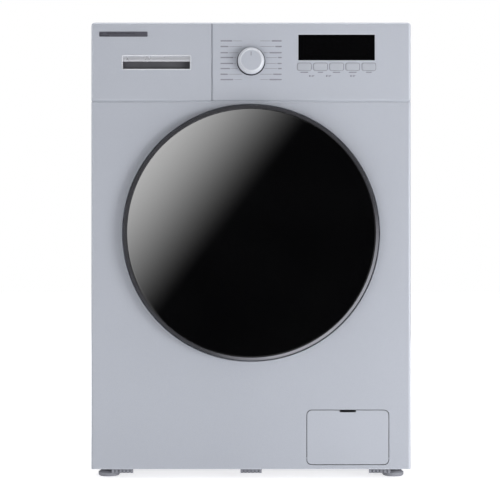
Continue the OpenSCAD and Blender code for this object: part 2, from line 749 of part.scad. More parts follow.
// The glass bowl that keeps the washing out of the seal.
module door_glass() {
    rim_d = door_back_d - 2;
    color([0.75, 0.8, 0.85, 0.4]) on_axis(0) rotate_extrude() polygon([
        [glass_rim_r, rim_d - 5], [glass_rim_r, rim_d], [bowl_mouth_r, rim_d], [bowl_end_r + 6, bowl_d - 8],
        [bowl_end_r, bowl_d], [0, bowl_d], [0, bowl_d - glass_t], [bowl_end_r - 4, bowl_d - glass_t],
        [bowl_end_r + 6 - glass_t, bowl_d - 10], [bowl_mouth_r - glass_t, rim_d - 5]]);
}

// The fixed half of the hinge: a plate on the recess floor, two lugs and the pin.
module hinge_bracket() {
    color("lightgray") {
        box([hinge_x - 2, recess_d - 1.8, drum_axis_z - hinge_half], [hinge_x + 20, recess_d, drum_axis_z + hinge_half]);
        for (z0 = [drum_axis_z - hinge_half, drum_axis_z + hinge_half - lug_t])
            translate([hinge_x, face_y + hinge_d, z0]) {
                cylinder(r = knuckle_r, h = lug_t);
                cube([knuckle_r + 2, recess_d - hinge_d - 1, lug_t]);
            }
        translate([hinge_x, face_y + hinge_d, drum_axis_z - hinge_half]) cylinder(r = hinge_pin_r, h = 2 * hinge_half);
    }
}

// The moving half: a barrel on the pin and an arm screwed to the inner frame.
module door_hinge_arm() {
    half = hinge_half - lug_t - 1;
    arm_d = door_back_d - frame_t;
    color("lightgray") difference() {
        union() {
            translate([hinge_x, face_y + hinge_d, drum_axis_z - half]) cylinder(r = knuckle_r, h = 2 * half);
            box([hinge_x, hinge_d - knuckle_r, drum_axis_z - half], [hinge_x + 12, hinge_d - knuckle_r + 3, drum_axis_z + half]);
            box([hinge_x + 9, hinge_d - knuckle_r, drum_axis_z - half], [hinge_x + 12, arm_d, drum_axis_z + half]);
            box([hinge_x + 9, arm_d - 2.5, drum_axis_z - half], [hinge_x + 52, arm_d, drum_axis_z + half]);
        }
        translate([hinge_x, face_y + hinge_d, drum_axis_z - half - cut])
            cylinder(r = hinge_pin_r + running, h = 2 * half + 2 * cut);
    }
}

// The sprung hook on the door's right, which turns on its own pin.
module latch_hook() {
    tip = recess_d + 14;
    pin = hook_half + ear_gap + ear_t;
    color("lightgray") {
        box([latch_x - hook_half, latch_d + 2, drum_axis_z - 12], [latch_x + hook_half, tip, drum_axis_z + 2]);
        box([latch_x - hook_half, tip - 7, drum_axis_z - 12], [latch_x + hook_half, tip, drum_axis_z + 10]);
        translate([latch_x - hook_half, face_y + latch_d, drum_axis_z - 5]) rotate([0, 90, 0])
            cylinder(r = 6, h = 2 * hook_half);
        translate([latch_x - pin, face_y + latch_d, drum_axis_z - 5]) rotate([0, 90, 0])
            cylinder(r = latch_pin_r, h = 2 * pin);
    }
}

// The lock behind the front panel, open where the hook comes in.
module door_lock() {
    color("whitesmoke") difference() {
        box([latch_x - 16, recess_d + sheet_t, drum_axis_z - 40], [latch_x + 16, recess_d + 34, drum_axis_z + 40]);
        box([latch_x - 9, recess_d, drum_axis_z - 26], [latch_x + 9, recess_d + 26, drum_axis_z + 26]);
    }
}

// The rubber bellows between the doorway and the tub.
module door_seal() {
    t = 3.5;
    outer = mouth_r + sheet_t;
    fold = min(mouth_r, tub_mouth_r) - 13;
    far = tub_front_d - 12;
    color("gray") on_axis(0) rotate_extrude() polygon([
        [mouth_r, recess_d - 1.5], [mouth_r - 5, recess_d + 1], [mouth_r - 5, lip_d + 3], [fold, lip_d + 10],
        [fold, far - 12], [tub_mouth_r - t, far], [tub_mouth_r - t, tub_front_d + tub_wall],
        [tub_mouth_r, tub_front_d + tub_wall], [tub_mouth_r, far - 2], [fold + t, far - 14], [fold + t, lip_d + 12],
        [outer, lip_d + 6], [outer, lip_d], [mouth_r, lip_d]]);
}

// ---------- tub, drum and drive ----------

module spring_lugs() for (sx = [0, 1], d = spring_depths) mirror([sx, 0, 0])
    box([sqrt(pow(tub_out_r, 2) - pow(spring_lug_rise, 2)) - 4, d - 7, spring_lug_z - 16],
        [spring_x + 9, d + 7, spring_lug_z]);

module tub_rear() {
    color("whitesmoke") difference() {
        union() {
            on_axis(0) rotate_extrude() polygon([
                [tub_r, tub_split_d], [flange_r, tub_split_d], [flange_r, tub_split_d + flange_t],
                [tub_out_r, tub_split_d + flange_t], [tub_out_r, tub_back_d + tub_back_t],
                [hub_r, tub_back_d + tub_back_t], [hub_r - 4, hub_end_d], [bearing_r, hub_end_d],
                [bearing_r, tub_back_d - 4], [hub_r, tub_back_d - 4], [hub_r, tub_back_d], [tub_r, tub_back_d]]);
            // radial ribs on the back
            for (a = [0:45:315]) on_axis(tub_back_d + tub_back_t - cut) rotate([0, 0, a])
                translate([hub_r - 5, -2.5, 0]) cube([tub_out_r - hub_r, 5, 11]);
            intersection() {
                spring_lugs();
                box([-cabinet_w, tub_split_d + flange_t, 0], [cabinet_w, tub_back_d, cabinet_h]);
            }
        }
        on_axis(tub_split_d - cut) cylinder(r = tub_r, h = tub_back_d - tub_split_d + cut);
    }
}

module tub_front() {
    wall_back = tub_front_d + tub_wall;
    lip = 16;
    color("whitesmoke") difference() {
        union() {
            on_axis(0) rotate_extrude() polygon([
                [tub_mouth_r, tub_front_d - lip], [tub_mouth_r + 4, tub_front_d - lip], [tub_mouth_r + 4, tub_front_d],
                [tub_out_r - 6, tub_front_d], [tub_out_r, tub_front_d + 6], [tub_out_r, tub_split_d - flange_t],
                [flange_r, tub_split_d - flange_t], [flange_r, tub_split_d], [tub_r, tub_split_d],
                [tub_r, wall_back], [tub_mouth_r, wall_back]]);
            // the sump, a trough under the tub
            box([-sump_half, sump_d[0], sump_z], [sump_half, sump_d[1], drum_axis_z - tub_r + 20]);
            translate([sump_stub_x, face_y + sump_stub_d, sump_z - 14]) cylinder(r = 17, h = 15);
            intersection() {
                spring_lugs();
                box([-cabinet_w, tub_front_d, 0], [cabinet_w, tub_split_d - flange_t, cabinet_h]);
            }
            for (sx = [-1, 1]) box([sx * damper_x - 12, damper_d - 9, damper_top_z],
                [sx * damper_x + 12, damper_d + 9, damper_top_z + 16]);
            // neck that the dispenser's hose clamps to
            intersection() {
                translate([drawer_x, face_y + outlet_d, drum_axis_z]) cylinder(r = outlet_r, h = outlet_rise);
                box([-cabinet_w, tub_front_d, drum_axis_z], [cabinet_w, tub_split_d - flange_t, cabinet_h]);
            }
        }
        box([-heater_plug[0] / 2, sump_d[0] - cut, heater_z - heater_plug[1] / 2],
            [heater_plug[0] / 2, sump_d[0] + 5, heater_z + heater_plug[1] / 2]);
        on_axis(wall_back) cylinder(r = tub_r, h = tub_split_d - wall_back + cut);
        box([-sump_half + 4, sump_d[0] + 4, sump_z + 4], [sump_half - 4, sump_d[1] - 4, drum_axis_z - tub_r + 30]);
        translate([sump_stub_x, face_y + sump_stub_d, sump_z - 15]) cylinder(r = 14, h = 25);
        translate([drawer_x, face_y + outlet_d, drum_axis_z]) cylinder(r = outlet_r - 3, h = tub_out_r);
    }
}

// The concrete weights: a horseshoe on the front of the tub, and a block on top of it.
module counterweights() {
    ring_t = 23.8;
    color("darkgray") {
        difference() {
            on_axis(tub_front_d - ring_t) difference() {
                cylinder(r = tub_out_r - 12, h = ring_t);
                translate([0, 0, -cut]) cylinder(r = tub_mouth_r + 8, h = ring_t + 2 * cut);
                translate([-90, 0, -cut]) cube([180, tub_out_r, ring_t + 2 * cut]);
            }
            // room for the door's lock
            box([latch_x - 22, tub_front_d - 30, drum_axis_z - 56], [latch_x + 60, tub_front_d + 1, drum_axis_z + 56]);
        }
        difference() {
            box([drawer_x + tray_w / 2 + 18, tub_split_d - 92, drum_axis_z + tub_out_r - 18],
                [120, tub_split_d - flange_t, drum_axis_z + tub_out_r + 42]);
            on_axis(tub_front_d) cylinder(r = tub_out_r, h = drum_len);
        }
    }
}

// The U of heating rod in the sump, with the flange that closes its hole in the sump's wall.
module heater() {
    half = 25;
    r = 4;
    turn = sump_d[1] - 34;
    color("gray") {
        for (sx = [-1, 1]) along_y([sx * half, sump_d[0], heater_z]) cylinder(r = r, h = turn - sump_d[0]);
        translate([0, face_y + turn, heater_z]) rotate_extrude(angle = 180) translate([half, 0]) circle(r);
        box([-heater_plug[0] / 2, sump_d[0] - 4, heater_z - heater_plug[1] / 2],
            [heater_plug[0] / 2, sump_d[0] + 4, heater_z + heater_plug[1] / 2]);
        box([-heater_plug[0] / 2 - 5, sump_d[0] - 8, heater_z - heater_plug[1] / 2 - 3],
            [heater_plug[0] / 2 + 5, sump_d[0], heater_z + heater_plug[1] / 2 + 3]);
    }
}

module drum_bearings() {
    color("steelblue") for (d = [tub_back_d - 2, hub_end_d - bearing_t - 1]) on_axis(d) difference() {
        cylinder(r = bearing_r, h = bearing_t);
        translate([0, 0, -cut]) cylinder(r = shaft_r + running, h = bearing_t + 2 * cut);
    }
}

module motor_body() {
    color("dimgray") difference() {
        union() {
            along_y([motor_x, motor_front_d, motor_z]) cylinder(r = motor_r, h = motor_back_d - motor_front_d);
            along_y([motor_x, motor_front_d - 12, motor_z]) cylinder(r = 24, h = 14);
            // mounting bridge up to the tub
            for (d = [motor_front_d + 8, motor_front_d + 58]) intersection() {
                box([motor_x - 42, d, motor_z], [motor_x + 42, d + 14, drum_axis_z - tub_out_r + 24]);
                difference() {
                    box([-cabinet_w, d - cut, 0], [cabinet_w, d + 20, drum_axis_z]);
                    on_axis(d - 2) cylinder(r = tub_out_r, h = 30);
                }
            }
        }
        along_y([motor_x, motor_back_d - 60, motor_z]) cylinder(r = motor_shaft_r + running, h = 70);
    }
}

module motor_pulley() {
    color("lightgray") {
        along_y([motor_x, motor_back_d - 50, motor_z]) cylinder(r = motor_shaft_r, h = pulley_d + pulley_t - motor_back_d + 50);
        along_y([motor_x, pulley_d, motor_z]) cylinder(r = motor_pulley_r, h = pulley_t);
        along_y([motor_x, pulley_d - 1.5, motor_z]) cylinder(r = motor_pulley_r + 3, h = 1.4);
    }
}

module belt_loop2d(extra) hull() {
    circle(drum_pulley_r + extra, $fn = 120);
    translate([motor_x, drum_axis_z - motor_z]) circle(motor_pulley_r + extra, $fn = 48);
}

module drive_belt() {
    color([0.1, 0.1, 0.1]) on_axis(pulley_d + 2) linear_extrude(pulley_t - 4) difference() {
        belt_loop2d(belt_gap + belt_t);
        belt_loop2d(belt_gap);
    }
}

module drum_pulley() {
    web_t = 5;
    color("lightgray") on_axis(pulley_d) difference() {
        union() {
            rotate_extrude() polygon([[shaft_r, -6], [28, -6], [28, web_t], [drum_pulley_r - 8, web_t],
                [drum_pulley_r - 8, 0], [drum_pulley_r, 0], [drum_pulley_r, pulley_t], [drum_pulley_r - 8, pulley_t],
                [drum_pulley_r - 8, web_t + 4], [26, web_t + 4], [26, pulley_t], [shaft_r, pulley_t]]);
        }
        for (a = [0:60:300]) rotate([0, 0, a]) translate([drum_pulley_r * 0.56, 0, -8]) cylinder(r = 31, h = 30);
    }
}

module drum_shell() {
    lip = 8;
    color("gainsboro") on_axis(0) rotate_extrude() polygon([
        [drum_mouth_r, drum_front_d + lip], [drum_mouth_r, drum_front_d], [drum_r - 6, drum_front_d],
        [drum_r, drum_front_d + 6], [drum_r, drum_back_d], [0, drum_back_d], [0, drum_back_d - drum_t],
        [drum_r - drum_t, drum_back_d - drum_t], [drum_r - drum_t, drum_front_d + 6.5],
        [drum_r - 6.5, drum_front_d + drum_t], [drum_mouth_r + drum_t, drum_front_d + drum_t],
        [drum_mouth_r + drum_t, drum_front_d + lip]]);
}

module drum_paddles() {
    inner = drum_r - drum_t - 0.05;
    color("whitesmoke") intersection() {
        for (a = [30, 150, 270]) on_axis(drum_front_d + 28) rotate([0, 0, a]) linear_extrude(drum_len - 60)
            polygon([[inner + 5, -30], [inner - paddle_h + 10, -13], [inner - paddle_h + 2, -8], [inner - paddle_h, 0],
                [inner - paddle_h + 2, 8], [inner - paddle_h + 10, 13], [inner + 5, 30]]);
        on_axis(drum_front_d) cylinder(r = inner, h = drum_len);
    }
}

module drum_spider() {
    color("darkgray") on_axis(drum_back_d) {
        cylinder(r = 40, h = spider_t);
        for (a = [30, 150, 270]) rotate([0, 0, a]) translate([0, -16, 0]) cube([drum_r - 6, 32, spider_t]);
    }
}

module drum_shaft() color("silver") on_axis(drum_back_d + spider_t)
    cylinder(r = shaft_r, h = pulley_d + pulley_t + 4 - drum_back_d - spider_t);

// Cylinder halves of the friction dampers, standing on the base pan.
module damper_cylinders() {
    z0 = pan_z + 12;
    h = damper_top_z - 66 - z0;
    color("dimgray") for (sx = [-1, 1]) translate([sx * damper_x, face_y + damper_d, z0]) difference() {
        cylinder(r = damper_r, h = h);
        translate([0, 0, 30]) cylinder(r = damper_rod_r + running, h = h);
    }
}

module damper_rods() {
    color("lightgray") for (sx = [-1, 1]) translate([sx * damper_x, face_y + damper_d, damper_top_z - 124])
        cylinder(r = damper_rod_r, h = 124);
}

// Each spring as the plain sleeve that its coils fill.
module suspension_springs() {
    color("gray") for (sx = [-1, 1], d = spring_depths)
        translate([sx * spring_x, face_y + d, spring_lug_z]) difference() {
            cylinder(r = spring_r, h = spring_top_z - spring_lug_z);
            translate([0, 0, -cut]) cylinder(r = spring_r - spring_wire, h = spring_top_z - spring_lug_z + 2 * cut);
        }
}

// ---------- drain and service flap ----------

module service_flap() {
    w = flap_hole[0] - 2 * flap_clear;
    h = flap_hole[1] - 2 * flap_clear;
    notch = [30, 3.6];
    color("silver") {
        difference() {
            plate(0, flap_t) translate([flap_x, flap_mid_z]) rounded2d(w, h, 9);
            box([flap_x - notch[0] / 2, -cut, flap_mid_z + h / 2 - notch[1]],
                [flap_x + notch[0] / 2, flap_t + cut, flap_mid_z + h / 2 + cut]);
        }
        for (sx = [-1, 1]) box([flap_x + sx * (w / 2 - 14) - 4, flap_t - 0.2, flap_axis_z - 3],
            [flap_x + sx * (w / 2 - 14) + 4, flap_axis_d, flap_axis_z + 3]);
        translate([flap_x - flap_hole[0] / 2 - pocket_t, face_y + flap_axis_d, flap_axis_z]) rotate([0, 90, 0])
            cylinder(r = flap_pin_r, h = flap_hole[0] + 2 * pocket_t);
        // snap tongue behind the top edge
        box([flap_x - 8, flap_t - 0.2, flap_mid_z + h / 2 - 10], [flap_x + 8, flap_t + 8, flap_mid_z + h / 2 - 7]);
    }
}

// The plastic pocket behind the flap, with the hole that the filter's cap fills.
module service_pocket() {
    inner = [flap_hole[0] / 2 + 0.4, flap_mid_z - flap_z];
    z0 = flap_axis_z - 12.6;
    z1 = flap_z + flap_hole[1] + 0.6;
    x0 = flap_x - inner[0];
    x1 = flap_x + inner[0];
    color("gray") difference() {
        box([x0 - pocket_t, sheet_t, z0 - pocket_t], [x1 + pocket_t, pocket_d, z1 + pocket_t]);
        box([x0, sheet_t - cut, z0], [x1, pocket_d - pocket_t, z1]);
        along_y([filter_x, pocket_d - 10, filter_z]) cylinder(r = cap_r + 1.5, h = 20);
        translate([x0 - 2 * pocket_t, face_y + flap_axis_d, flap_axis_z]) rotate([0, 90, 0])
            cylinder(r = flap_pin_r + running, h = 2 * inner[0] + 4 * pocket_t);
    }
}

module pump_body() {
    wall = 3;
    stub_z = filter_z + 10;
    stub_x = filter_x - pump_r - 14;
    color("whitesmoke") difference() {
        union() {
            along_y([filter_x, pocket_d, filter_z]) cylinder(r = pump_r, h = pump_end_d - pocket_d);
            along_y([filter_x, pump_end_d - cut, filter_z]) cylinder(r = pump_motor_r, h = pump_motor_len + cut);
            // stub to the sump's hose, stub to the drain hose, and a foot on the base
            bar([stub_x, face_y + sump_stub_d, stub_z], [filter_x, face_y + sump_stub_d, stub_z], 17);
            bar([filter_x, face_y + 94, drain_z], [drain_x - 16, face_y + 94, drain_z], drain_hose_r - 2);
            box([filter_x - 18, 56, pan_z + pan_t], [filter_x + 18, pump_end_d - 8, filter_z]);
        }
        along_y([filter_x, pocket_d - cut, filter_z]) cylinder(r = filter_r + 1.2, h = pump_end_d - pocket_d - wall);
        bar([stub_x - cut, face_y + sump_stub_d, stub_z], [filter_x, face_y + sump_stub_d, stub_z], 14);
        bar([filter_x + 10, face_y + 94, drain_z], [drain_x, face_y + 94, drain_z], drain_hose_r - 5);
    }
}

// The screw-in filter: a cap with a grip bar, and the slotted cage behind it.
module pump_filter() {
    cage_len = 36;
    color("steelblue") {
        along_y([filter_x, pocket_d - 8, filter_z]) cylinder(r = cap_r, h = 7.7);
        box([filter_x - cap_r + 5, pocket_d - 20, filter_z - 3], [filter_x + cap_r - 5, pocket_d - 7, filter_z + 3]);
        along_y([filter_x, pocket_d - cut, filter_z]) difference() {
            cylinder(r = filter_r, h = cage_len + cut);
            translate([0, 0, 6]) cylinder(r = filter_r - 3, h = cage_len);
            for (a = [0:60:300]) rotate([0, 0, a]) translate([0, -4, 10]) cube([filter_r + 5, 8, cage_len - 14]);
        }
    }
}

module pump_impeller() {
    d0 = pocket_d + 40;
    color("ivory") {
        along_y([filter_x, d0, filter_z]) cylinder(r = 4, h = pump_end_d - 3 - d0 - 4.5);
        for (a = [0, 90]) along_y([filter_x, d0 + 8, filter_z]) rotate([0, 0, a])
            translate([-filter_r + 3, -1, 0]) cube([2 * filter_r - 6, 2, 16]);
    }
}

module sump_hose() {
    d = face_y + sump_stub_d;
    z = filter_z + 10;
    color("dimgray") hose([[sump_stub_x, d, sump_z - 14], [sump_stub_x, d, z], [filter_x - pump_r - 14, d, z]], 15);
}

module drain_hose() {
    spigot = 20;
    color("gray") {
        hose([[drain_x - 16, face_y + 94, drain_z], [drain_x, face_y + 94, drain_z],
            [drain_x, face_y + cabinet_d, drain_z]], drain_hose_r);
        along_y([drain_x, cabinet_d, drain_z]) difference() {
            cylinder(r = drain_hose_r - 1, h = spigot);
            translate([0, 0, cut]) cylinder(r = drain_hose_r - 4, h = spigot);
        }
    }
}

// ---------- feet ----------

// A foot with its stud and its lock nut, which stops the given gap below the base.
module foot(sx, d, gap) {
    pad = 10;
    color("dimgray") foot_place(sx, d, 0) {
        rotate_extrude() polygon([[0, 0], [foot_r - 2, 0], [foot_r, 2], [foot_r, 7], [foot_r - 4, pad], [0, pad]]);
        cylinder(r = foot_stud_r, h = pan_z + pan_h - 2);
        translate([0, 0, pad - cut]) cylinder(r = foot_stud_r + 4.5, h = pan_z - gap - pad + cut, $fn = 6);
    }
}

module rear_feet() for (sx = [-1, 1]) foot(sx, cabinet_d - foot_d, 0);

// ---------- nodes ----------

left_side_panel();
right_side_panel();
rear_panel();
rear_access_cover();
cabinet_screws();
base_pan();
front_panel();
top_lid();
control_fascia();
display_window();
control_board();
dispenser_housing();
dispenser_hose();
inlet_valve();
fill_hose();
door_seal();
door_lock();
hinge_bracket();
pump_body();
service_pocket();
sump_hose();
drain_hose();
mains_gland();
rear_feet();
damper_cylinders();
suspension_springs();
tub_rear();
tub_front();
counterweights();
heater();
drum_bearings();
motor_body();
damper_rods();
drive_belt();
drum_shell();
drum_paddles();
drum_spider();
drum_shaft();
drum_pulley();
motor_pulley();
door_ring();
door_cover();
door_inner_frame();
door_glass();
door_hinge_arm();
latch_hook();
drawer_front();
drawer_tray();
drawer_grip();
programme_knob();
for (i = [1:button_count]) push_button(i);
service_flap();
pump_filter();
pump_impeller();
foot(-1, foot_d, 0.3);  // foot_left
foot(1, foot_d, 0.3);  // foot_right
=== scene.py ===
# %% [markdown]
# # A front-loading washing machine
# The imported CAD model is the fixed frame: every panel, hinge and pulley is already in its place.
# This lesson adds what CAD leaves out: paint and plastic finishes, a smooth domed door, rubber
# bellows, coiled springs, a drum with real holes, hoses with ribs, and the small marks on the console.
# All new shapes are surfaces worked out with numpy, so each one is a formula that can be changed.

# %% Load the frame
import json
import math

import bmesh
import bpy
import numpy as np
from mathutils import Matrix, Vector


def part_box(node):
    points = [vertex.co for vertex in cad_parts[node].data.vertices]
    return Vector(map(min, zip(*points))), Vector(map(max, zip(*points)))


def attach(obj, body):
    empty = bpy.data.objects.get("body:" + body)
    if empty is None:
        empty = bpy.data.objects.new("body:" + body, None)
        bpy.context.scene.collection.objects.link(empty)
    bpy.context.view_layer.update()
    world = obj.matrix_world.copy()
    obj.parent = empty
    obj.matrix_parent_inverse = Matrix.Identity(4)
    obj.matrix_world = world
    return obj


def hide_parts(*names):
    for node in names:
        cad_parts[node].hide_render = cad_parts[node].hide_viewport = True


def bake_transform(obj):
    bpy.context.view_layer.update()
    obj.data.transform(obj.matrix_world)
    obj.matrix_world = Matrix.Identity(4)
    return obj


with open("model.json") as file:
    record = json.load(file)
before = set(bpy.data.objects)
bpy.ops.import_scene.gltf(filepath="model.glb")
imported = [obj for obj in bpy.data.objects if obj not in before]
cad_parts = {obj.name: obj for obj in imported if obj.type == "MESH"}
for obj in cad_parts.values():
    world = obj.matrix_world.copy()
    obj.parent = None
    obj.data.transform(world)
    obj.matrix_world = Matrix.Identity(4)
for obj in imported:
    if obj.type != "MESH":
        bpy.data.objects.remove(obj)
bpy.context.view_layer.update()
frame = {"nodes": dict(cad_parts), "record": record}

print("nodes in the frame:", len(frame["nodes"]))

# %% [markdown]
# ## Where things are
# A washing machine is laid out from two places: the flat face of its front panel, and the axis that
# the drum turns on. Depths are measured backwards from that face. Both are read from the frame, so
# the new pieces follow the CAD model.

# %% Datum places, in millimetres
MM = 0.001
TURN = 2 * math.pi


def node_box(name):
    """Lowest and highest corner of a CAD node in millimetres, with depth behind the face in place of y."""
    low, high = (np.array(corner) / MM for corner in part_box(name))
    return low - (0, FACE_Y, 0), high - (0, FACE_Y, 0)


FACE_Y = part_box("front_panel")[0].y / MM
cover_low, cover_high = node_box("door_cover")
AXIS_Z = (cover_low[2] + cover_high[2]) / 2
COVER_R = (cover_high[0] - cover_low[0]) / 2
print(f"face at y {FACE_Y:.1f}, drum axis at z {AXIS_Z:.1f}, cover radius {COVER_R:.1f}")

# %% [markdown]
# ## Surfaces from formulas
# A surface here is a grid of points: rows follow one parameter and columns the other. Quads join
# neighbours, and a closed direction joins its last points to its first. Working on whole arrays is
# quick, and one small set of tools then covers lathe work, moulded plates, hoses and springs.


# %% Grids and shells
def place(x, depth, z):
    """Points in metres from x, depth behind the face and height z, all in millimetres."""
    x, depth, z = np.broadcast_arrays(x, depth, z)
    return np.stack([x, FACE_Y + depth, z], axis=-1) * MM


def grid_faces(rows, columns, close_rows):
    """One quad per cell of a grid whose columns run round; closing rows joins the last row to the first."""
    i, j = np.meshgrid(np.arange(rows if close_rows else rows - 1), np.arange(columns), indexing="ij")
    i2, j2 = (i + 1) % rows, (j + 1) % columns
    return np.stack([i * columns + j, i * columns + j2, i2 * columns + j2, i2 * columns + j],
                    axis=-1).reshape(-1, 4)


def surface(grid, close_rows=False, caps=True):
    """A shell from a grid of points, with a flat cap on its first and last row unless those are closed."""
    rows, columns = grid.shape[:2]
    faces = [grid_faces(rows, columns, close_rows)]
    if caps and not close_rows:
        ring = np.arange(columns)
        faces += [ring[None, ::-1], ring[None] + (rows - 1) * columns]
    return grid.reshape(-1, 3), faces


def join(shells):
    """Several shells as one: each one's face numbers move up by the points before it."""
    shells = list(shells)
    starts = np.cumsum([0] + [len(points) for points, _ in shells])
    return (
        np.concatenate([points for points, _ in shells]),
        [f + start for start, (_, faces) in zip(starts, shells) for f in faces],
    )


# %% [markdown]
# A corner that is perfectly sharp catches no light. Each corner of an outline is therefore replaced
# by a short curve. The same function bends a hose's route round its corners.


# %% Soft corners, lathe work, plates and sweeps
def softened(corners, radius, steps=4, closed=True):
    """Each corner c between neighbours a and b becomes the curve (1-t)^2 p + 2t(1-t) c + t^2 q, with p
    and q on the sides."""
    c = np.asarray(corners, float)
    sides = np.roll(c, 1, 0) - c, np.roll(c, -1, 0) - c
    lengths = [np.maximum(np.linalg.norm(s, axis=1, keepdims=True), 1e-9) for s in sides]
    p, q = (c + s / n * np.minimum(radius, 0.48 * n) for s, n in zip(sides, lengths))
    t = np.linspace(0, 1, steps)[None, :, None]
    curve = (1 - t) ** 2 * p[:, None] + 2 * t * (1 - t) * c[:, None] + t**2 * q[:, None]
    if not closed:
        curve[0], curve[-1] = c[0], c[-1]
    return curve.reshape(-1, c.shape[1])


def turned(profile, steps=192, closed=True, x=0.0, z=None):
    """A lathe: each profile point (r, depth) goes to (x + r cos t, depth, z + r sin t) for t round a
    full turn."""
    r, depth = np.asarray(profile, float).T[..., None]
    t = np.linspace(0, TURN, steps, endpoint=False)
    z = AXIS_Z if z is None else z
    return surface(place(x + r * np.cos(t), depth, z + r * np.sin(t)), close_rows=closed, caps=False)


def outline(width, height, corner, steps=6):
    """A rectangle with round corners, as corner centres and the directions that point out of them."""
    a = np.linspace(0, TURN / 4, steps)
    angle = np.concatenate([a + k * TURN / 4 for k in range(4)])
    side_x, side_z = np.repeat([1, -1, -1, 1], steps), np.repeat([1, 1, -1, -1], steps)
    centres = np.stack([side_x * (width / 2 - corner), side_z * (height / 2 - corner)], -1)
    return centres, np.stack([np.cos(angle), np.sin(angle)], -1)


def plate(x, z, width, height, corner, front, back, edge=0.4, crown=0.0, steps=6):
    """A moulded plate: an outline drawn in along a quarter circle at the front edge, under a crown of
    c (1 - s^2)."""
    centres, out = outline(width, height, corner, steps)
    t = np.linspace(0, TURN / 4, 5)
    inset = np.concatenate([[0], edge * (1 - np.cos(t))])
    depth = np.concatenate([[back], front + edge * (1 - np.sin(t))])
    sides = centres + (corner - inset)[:, None, None] * out
    s = np.array([0.75, 0.4, 0.0]) if crown else np.array([])
    top = s[:, None, None] * sides[-1]
    flat = np.concatenate([sides, top])
    depth = np.concatenate([depth, front - crown * (1 - s**2)])
    return surface(place(x + flat[..., 0], depth[:, None], z + flat[..., 1]), caps=True)


def sweep(path, section, up, closed=False):
    """A section carried along a path: path + a side + b up, where side is the path's direction crossed
    with up."""
    ahead = np.roll(path, -1, 0) - np.roll(path, 1, 0) if closed else np.gradient(path, axis=0)
    side = np.cross(ahead, up)
    side /= np.linalg.norm(side, axis=1, keepdims=True)
    section = np.broadcast_to(section, (len(path), *np.shape(section)[-2:]))
    grid = path[:, None] + section[..., :1] * side[:, None] + section[..., 1:] * np.asarray(up, float)
    return surface(grid, close_rows=closed)


def route(corners, bend, spacing):
    """Straight runs joined by bends, as points at equal steps of length, with each point's length from
    the start."""
    curve = softened(corners, bend, steps=20, closed=False)
    run = np.concatenate([[0], np.cumsum(np.linalg.norm(np.diff(curve, axis=0), axis=1))])
    s = np.linspace(0, run[-1], max(int(run[-1] / spacing), 4))
    return np.stack([np.interp(s, run, curve[:, k]) for k in range(3)], -1), s


def round_section(radius, steps=20):
    """Circles of the given radii, one per path point."""
    t = np.linspace(0, TURN, steps, endpoint=False)
    return np.atleast_1d(radius)[:, None, None] * np.stack([np.cos(t), np.sin(t)], -1)


# %% [markdown]
# ## From points to a piece
# A piece is a mesh that rides on one of the machine's bodies, such as the door or the drawer. Double
# points at poles and seams are merged first, and only then are the faces turned outwards.


# %% Making a piece
finishes = {}
made_pieces = []


def make(name, shell, finish_name, body, instead_of=(), crease=35):
    """A shell as a named piece on a body. With body None it is left free, on no body."""
    points, faces = shell
    mesh = bpy.data.meshes.new(name)
    mesh.vertices.add(len(points))
    mesh.vertices.foreach_set("co", points.astype(np.float32).ravel())
    sizes = np.concatenate([np.full(len(f), f.shape[1]) for f in faces])
    mesh.loops.add(int(sizes.sum()))
    mesh.loops.foreach_set("vertex_index", np.concatenate([f.ravel() for f in faces]).astype(np.int32))
    mesh.polygons.add(len(sizes))
    mesh.polygons.foreach_set("loop_start", np.concatenate([[0], np.cumsum(sizes)[:-1]]).astype(np.int32))
    mesh.update(calc_edges=True)
    tidy = bmesh.new()
    tidy.from_mesh(mesh)
    bmesh.ops.remove_doubles(tidy, verts=tidy.verts, dist=1e-6)
    bmesh.ops.delete(tidy, geom=[edge for edge in tidy.edges if not edge.link_faces], context="EDGES")
    bmesh.ops.recalc_face_normals(tidy, faces=tidy.faces)
    open_edges = sum(1 for edge in tidy.edges if len(edge.link_faces) != 2)
    tidy.to_mesh(mesh)
    tidy.free()
    mesh.shade_smooth()
    mesh.set_sharp_from_angle(angle=math.radians(crease))
    mesh.materials.append(finishes[finish_name])
    piece = bpy.data.objects.new(name, mesh)
    bpy.context.scene.collection.objects.link(piece)
    if body:
        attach(piece, body)
    if instead_of:
        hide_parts(*instead_of)
    made_pieces.append(piece)
    print(f"{name}: {len(mesh.vertices)} points, {len(mesh.polygons)} faces, {open_edges} open edges")
    return piece

# %% [markdown]
# ## Finishes
# A finish is more than a colour. Paint has a fine unevenness called orange peel, brushed steel has
# lines, cast metal has a grain, and plastic has the light texture of its mould. Each of those is a
# grey pattern on the piece's own coordinates, which tints the colour, changes the roughness or
# raises a bump. Values that are the same all over stay on the shader itself.


# %% Patterns and the finish function
def tint(red, green, blue):
    """A colour given on the 0 to 255 screen scale, as the linear values that a shader takes."""
    s = np.array([red, green, blue]) / 255
    return tuple(np.where(s <= 0.04045, s / 12.92, ((s + 0.055) / 1.055) ** 2.4)) + (1.0,)


